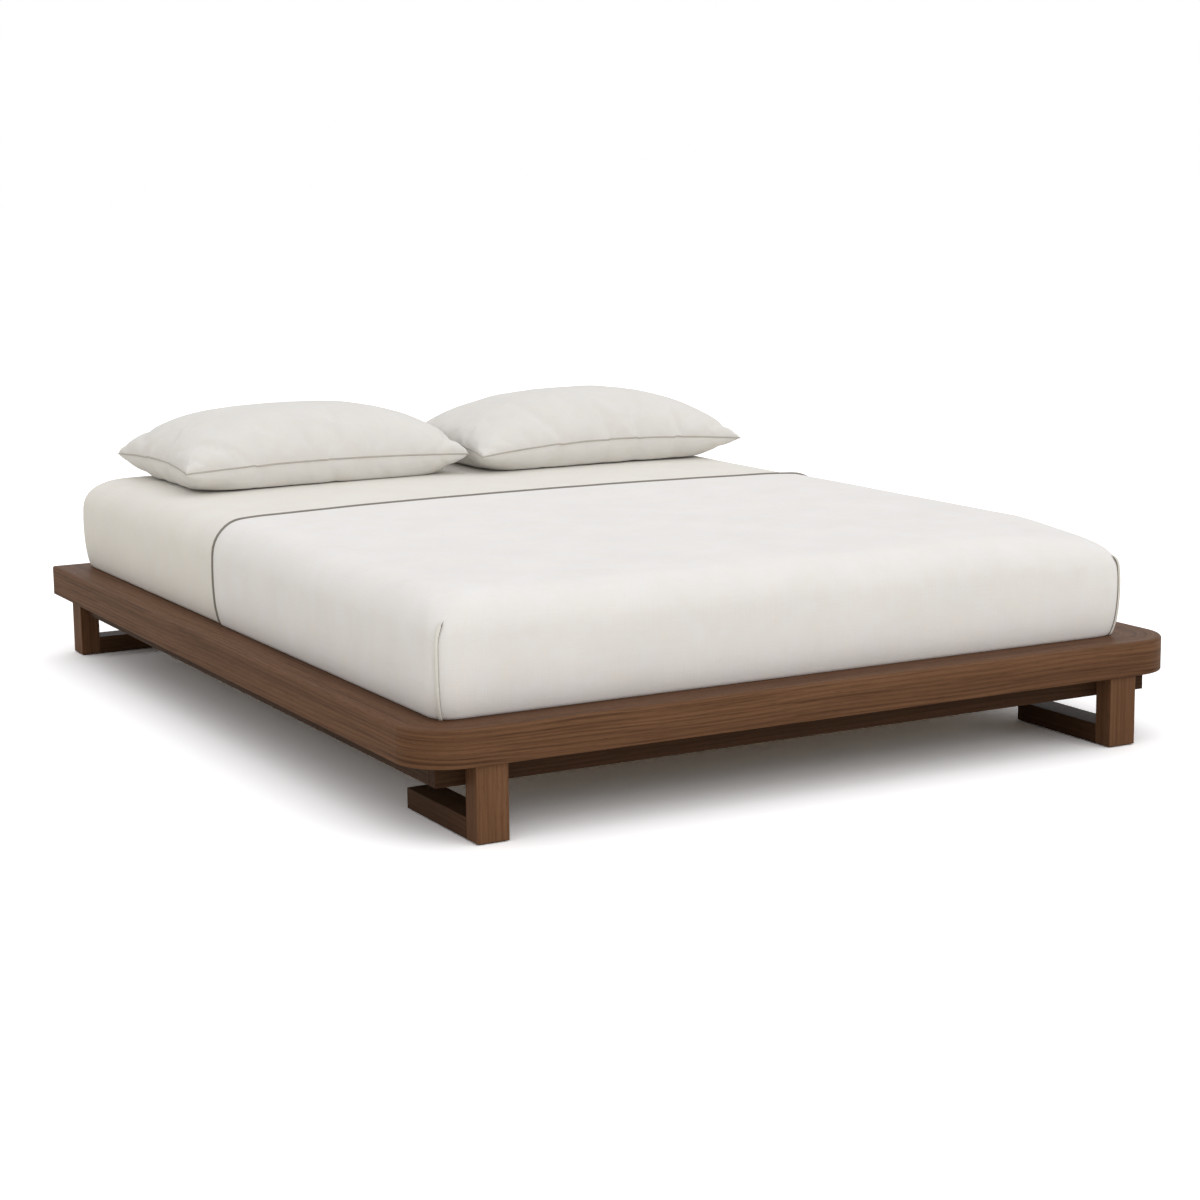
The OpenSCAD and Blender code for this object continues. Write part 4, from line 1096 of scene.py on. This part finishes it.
class BED_OT_coverlet(bpy.types.Operator):
    """Make the tailored coverlet over the lower part of the mattress, with its hem and corner pipings"""

    bl_idname = "bed.coverlet"
    bl_label = "Make Coverlet"

    def execute(self, context):
        given = context.scene.bed_coverlet
        form = mattress_form()
        inner, outer = coverlet_offsets()
        cut_y = hem_y - form.middle_y
        bm = folded_box(form, spacing=0.0165, with_base=False)
        slice_bmesh(bm, (0, cut_y, 0), (0, 1, 0), keep_outer=False)
        for vert in bm.verts:
            vert.co = on_coverlet(form, vert.co, outer)
        quilt = linen("coverlet_linen", given.colour, pitch=0.0012, depth=0.0005)
        cloth = new_piece("coverlet_dressed", bm, "mattress", ["coverlet"], quilt)
        add_subdivision(cloth)
        add_thickness(cloth, given.thick)

        # The hem's piping cloth: taupe, darkened further as painted shade for the groove along the hem.
        welt = piping_cloth("piping_cloth", given.piping_colour)
        radius = given.piping / 2
        line = [on_coverlet(form, p, inner + radius) for p in box_line(form, cut_y, spacing=0.012)]
        path = [p + Vector((0, radius * 0.8, 0)) for p in line]
        hem_bm = tube(path, [radius] * len(path), up=Vector((0, -1, 0)))
        hem_piece = new_piece("coverlet_hem_dressed", hem_bm, "mattress", ["coverlet_hem"], welt)
        pale = piping_cloth("welt_cloth", given.welt_colour)
        for side, sign in zip(SIDES, (-1, 1)):
            node = f"corner_piping_{side}"
            # Beside each pale welt lies a dark cord in the hem's piping cloth, as painted shadow of the welt.
            cords = {
                f"{node}_dressed": (given.welt, 0.0, pale),
                f"{node}_seam": (given.seam, given.seam_shift, welt),
            }
            for name, (size, shift, made_of) in cords.items():
                path, radii = corner_climb(form, sign, size / 2, shift, outer)
                bm = tube(path, radii, up=Vector((sign, 1, 0)).normalized())
                new_piece(name, bm, "mattress", [node], made_of)
        return {"FINISHED"}


class BED_OT_pillows(bpy.types.Operator):
    """Make the two pillows from inflated covers, with their piped seams and fillings"""

    bl_idname = "bed.pillows"
    bl_label = "Make Pillows"

    def execute(self, context):
        given = context.scene.bed_pillows
        cloth = linen("pillow_linen", given.colour, pitch=0.0011, depth=0.0004)
        piping = piping_cloth("pillow_piping_cloth", given.piping_colour)
        filling = fibre_filling(given.filling)
        for side in (0, 1):
            make_pillow(side, cloth, piping, filling)
        return {"FINISHED"}


def view_axes(given):
    """Right, up and backward axes of the camera."""
    forward = Vector(
        (
            math.sin(given.heading) * math.cos(given.pitch),
            math.cos(given.heading) * math.cos(given.pitch),
            -math.sin(given.pitch),
        )
    )
    level = Vector((math.cos(given.heading), -math.sin(given.heading), 0.0))
    down = forward.cross(level)
    right = level * math.cos(given.roll) + down * math.sin(given.roll)
    lower = down * math.cos(given.roll) - level * math.sin(given.roll)
    return right, -lower, -forward


def make_camera(given):
    camera = bpy.data.cameras.new("view")
    camera.lens = given.lens
    camera.sensor_width = 36
    camera.clip_end = 200
    viewer = added("view", camera)
    axes = Matrix(view_axes(given)).transposed().to_4x4()
    viewer.matrix_world = Matrix.Translation(Vector(given.camera_place)) @ axes
    bpy.context.scene.camera = viewer


def make_sky(given):
    """Light that grows from the horizon to overhead, where the camera and mirrors see plain white."""
    world = bpy.data.worlds.new("studio")
    world.use_nodes = True
    world.node_tree.nodes.clear()
    g = Graph(world.node_tree)
    rays = g.add("ShaderNodeLightPath").outputs
    seen = g.maths("MAXIMUM", rays["Is Camera Ray"], rays["Is Glossy Ray"])
    seen = g.maths("MAXIMUM", seen, rays["Is Transmission Ray"])
    place = g.add("ShaderNodeTexCoord").outputs["Generated"]
    strength = g.spread(g.split(place)[2], 0.0, 1.0, given.sky_low, given.sky_top)
    light = g.add("ShaderNodeBackground", {"Color": opaque(given.sky_colour), "Strength": strength})
    white = g.add("ShaderNodeBackground", {"Color": (1, 1, 1, 1), "Strength": 1.0})
    both = g.add("ShaderNodeMixShader", {0: seen, 1: light.outputs[0], 2: white.outputs[0]})
    g.add("ShaderNodeOutputWorld", {"Surface": both.outputs[0]})
    bpy.context.scene.world = world


def make_lamp(given):
    """A large soft lamp at the foot of the bed."""
    light = bpy.data.lights.new("lamp", "SUN")
    light.energy = given.lamp
    light.angle = given.lamp_spread
    added("lamp", light).rotation_euler = (given.lamp_tilt, 0, math.pi - given.lamp_heading)


def make_floor(given):
    """A plain floor that keeps the bed's shadow."""
    bm = bmesh.new()
    bmesh.ops.create_grid(bm, x_segments=2, y_segments=2, size=60)
    mesh = bpy.data.meshes.new("floor")
    bm.to_mesh(mesh)
    bm.free()
    plain = bpy.data.materials.new("floor_paint")
    plain.use_nodes = True
    plain.node_tree.nodes.clear()
    g = Graph(plain.node_tree)
    seen = g.add("ShaderNodeLightPath").outputs["Is Camera Ray"]
    dim = g.add("ShaderNodeBsdfDiffuse", {"Color": opaque(given.floor_bounce)}).outputs[0]
    pale = g.add("ShaderNodeBsdfDiffuse", {"Color": (given.floor,) * 3 + (1.0,)}).outputs[0]
    both = g.add("ShaderNodeMixShader", {0: seen, 1: dim, 2: pale}).outputs[0]
    g.add("ShaderNodeOutputMaterial", {"Surface": both})
    mesh.materials.append(plain)
    added("floor", mesh)


class BED_OT_stage(bpy.types.Operator):
    """Set up the floor, the light and the camera"""

    bl_idname = "bed.stage"
    bl_label = "Set Stage"

    def execute(self, context):
        given = context.scene.bed_stage
        context.scene.view_settings.view_transform = "Standard"
        make_floor(given)
        make_sky(given)
        make_lamp(given)
        make_camera(given)
        return {"FINISHED"}


OPERATORS = (
    BED_OT_walnut,
    BED_OT_deck,
    BED_OT_fittings,
    BED_OT_mattress,
    BED_OT_coverlet,
    BED_OT_pillows,
    BED_OT_stage,
)
SETTINGS = {
    "bed_wood": WoodSettings,
    "bed_mattress": MattressSettings,
    "bed_coverlet": CoverletSettings,
    "bed_pillows": PillowSettings,
    "bed_stage": StageSettings,
}


class BED_PT_dressing(bpy.types.Panel):
    """Lists the steps that dress the bed, and their settings"""

    bl_label = "Platform Bed"
    bl_space_type = "VIEW_3D"
    bl_region_type = "UI"
    bl_category = "Platform Bed"

    def draw(self, context):
        for operator in OPERATORS:
            self.layout.operator(operator.bl_idname)
        for pointer, kind in SETTINGS.items():
            box = self.layout.box()
            box.label(text=kind.__doc__)
            for name in kind.__annotations__:
                box.prop(getattr(context.scene, pointer), name)


def register():
    for kind in (*SETTINGS.values(), *OPERATORS, BED_PT_dressing):
        bpy.utils.register_class(kind)
    for pointer, kind in SETTINGS.items():
        setattr(bpy.types.Scene, pointer, bpy.props.PointerProperty(type=kind))


def unregister():
    for pointer in SETTINGS:
        delattr(bpy.types.Scene, pointer)
    for kind in (BED_PT_dressing, *reversed(OPERATORS), *reversed(SETTINGS.values())):
        bpy.utils.unregister_class(kind)


def main():
    register()
    for operator in OPERATORS:
        group, name = operator.bl_idname.split(".")
        getattr(getattr(bpy.ops, group), name)()


if __name__ == "__main__":
    main()
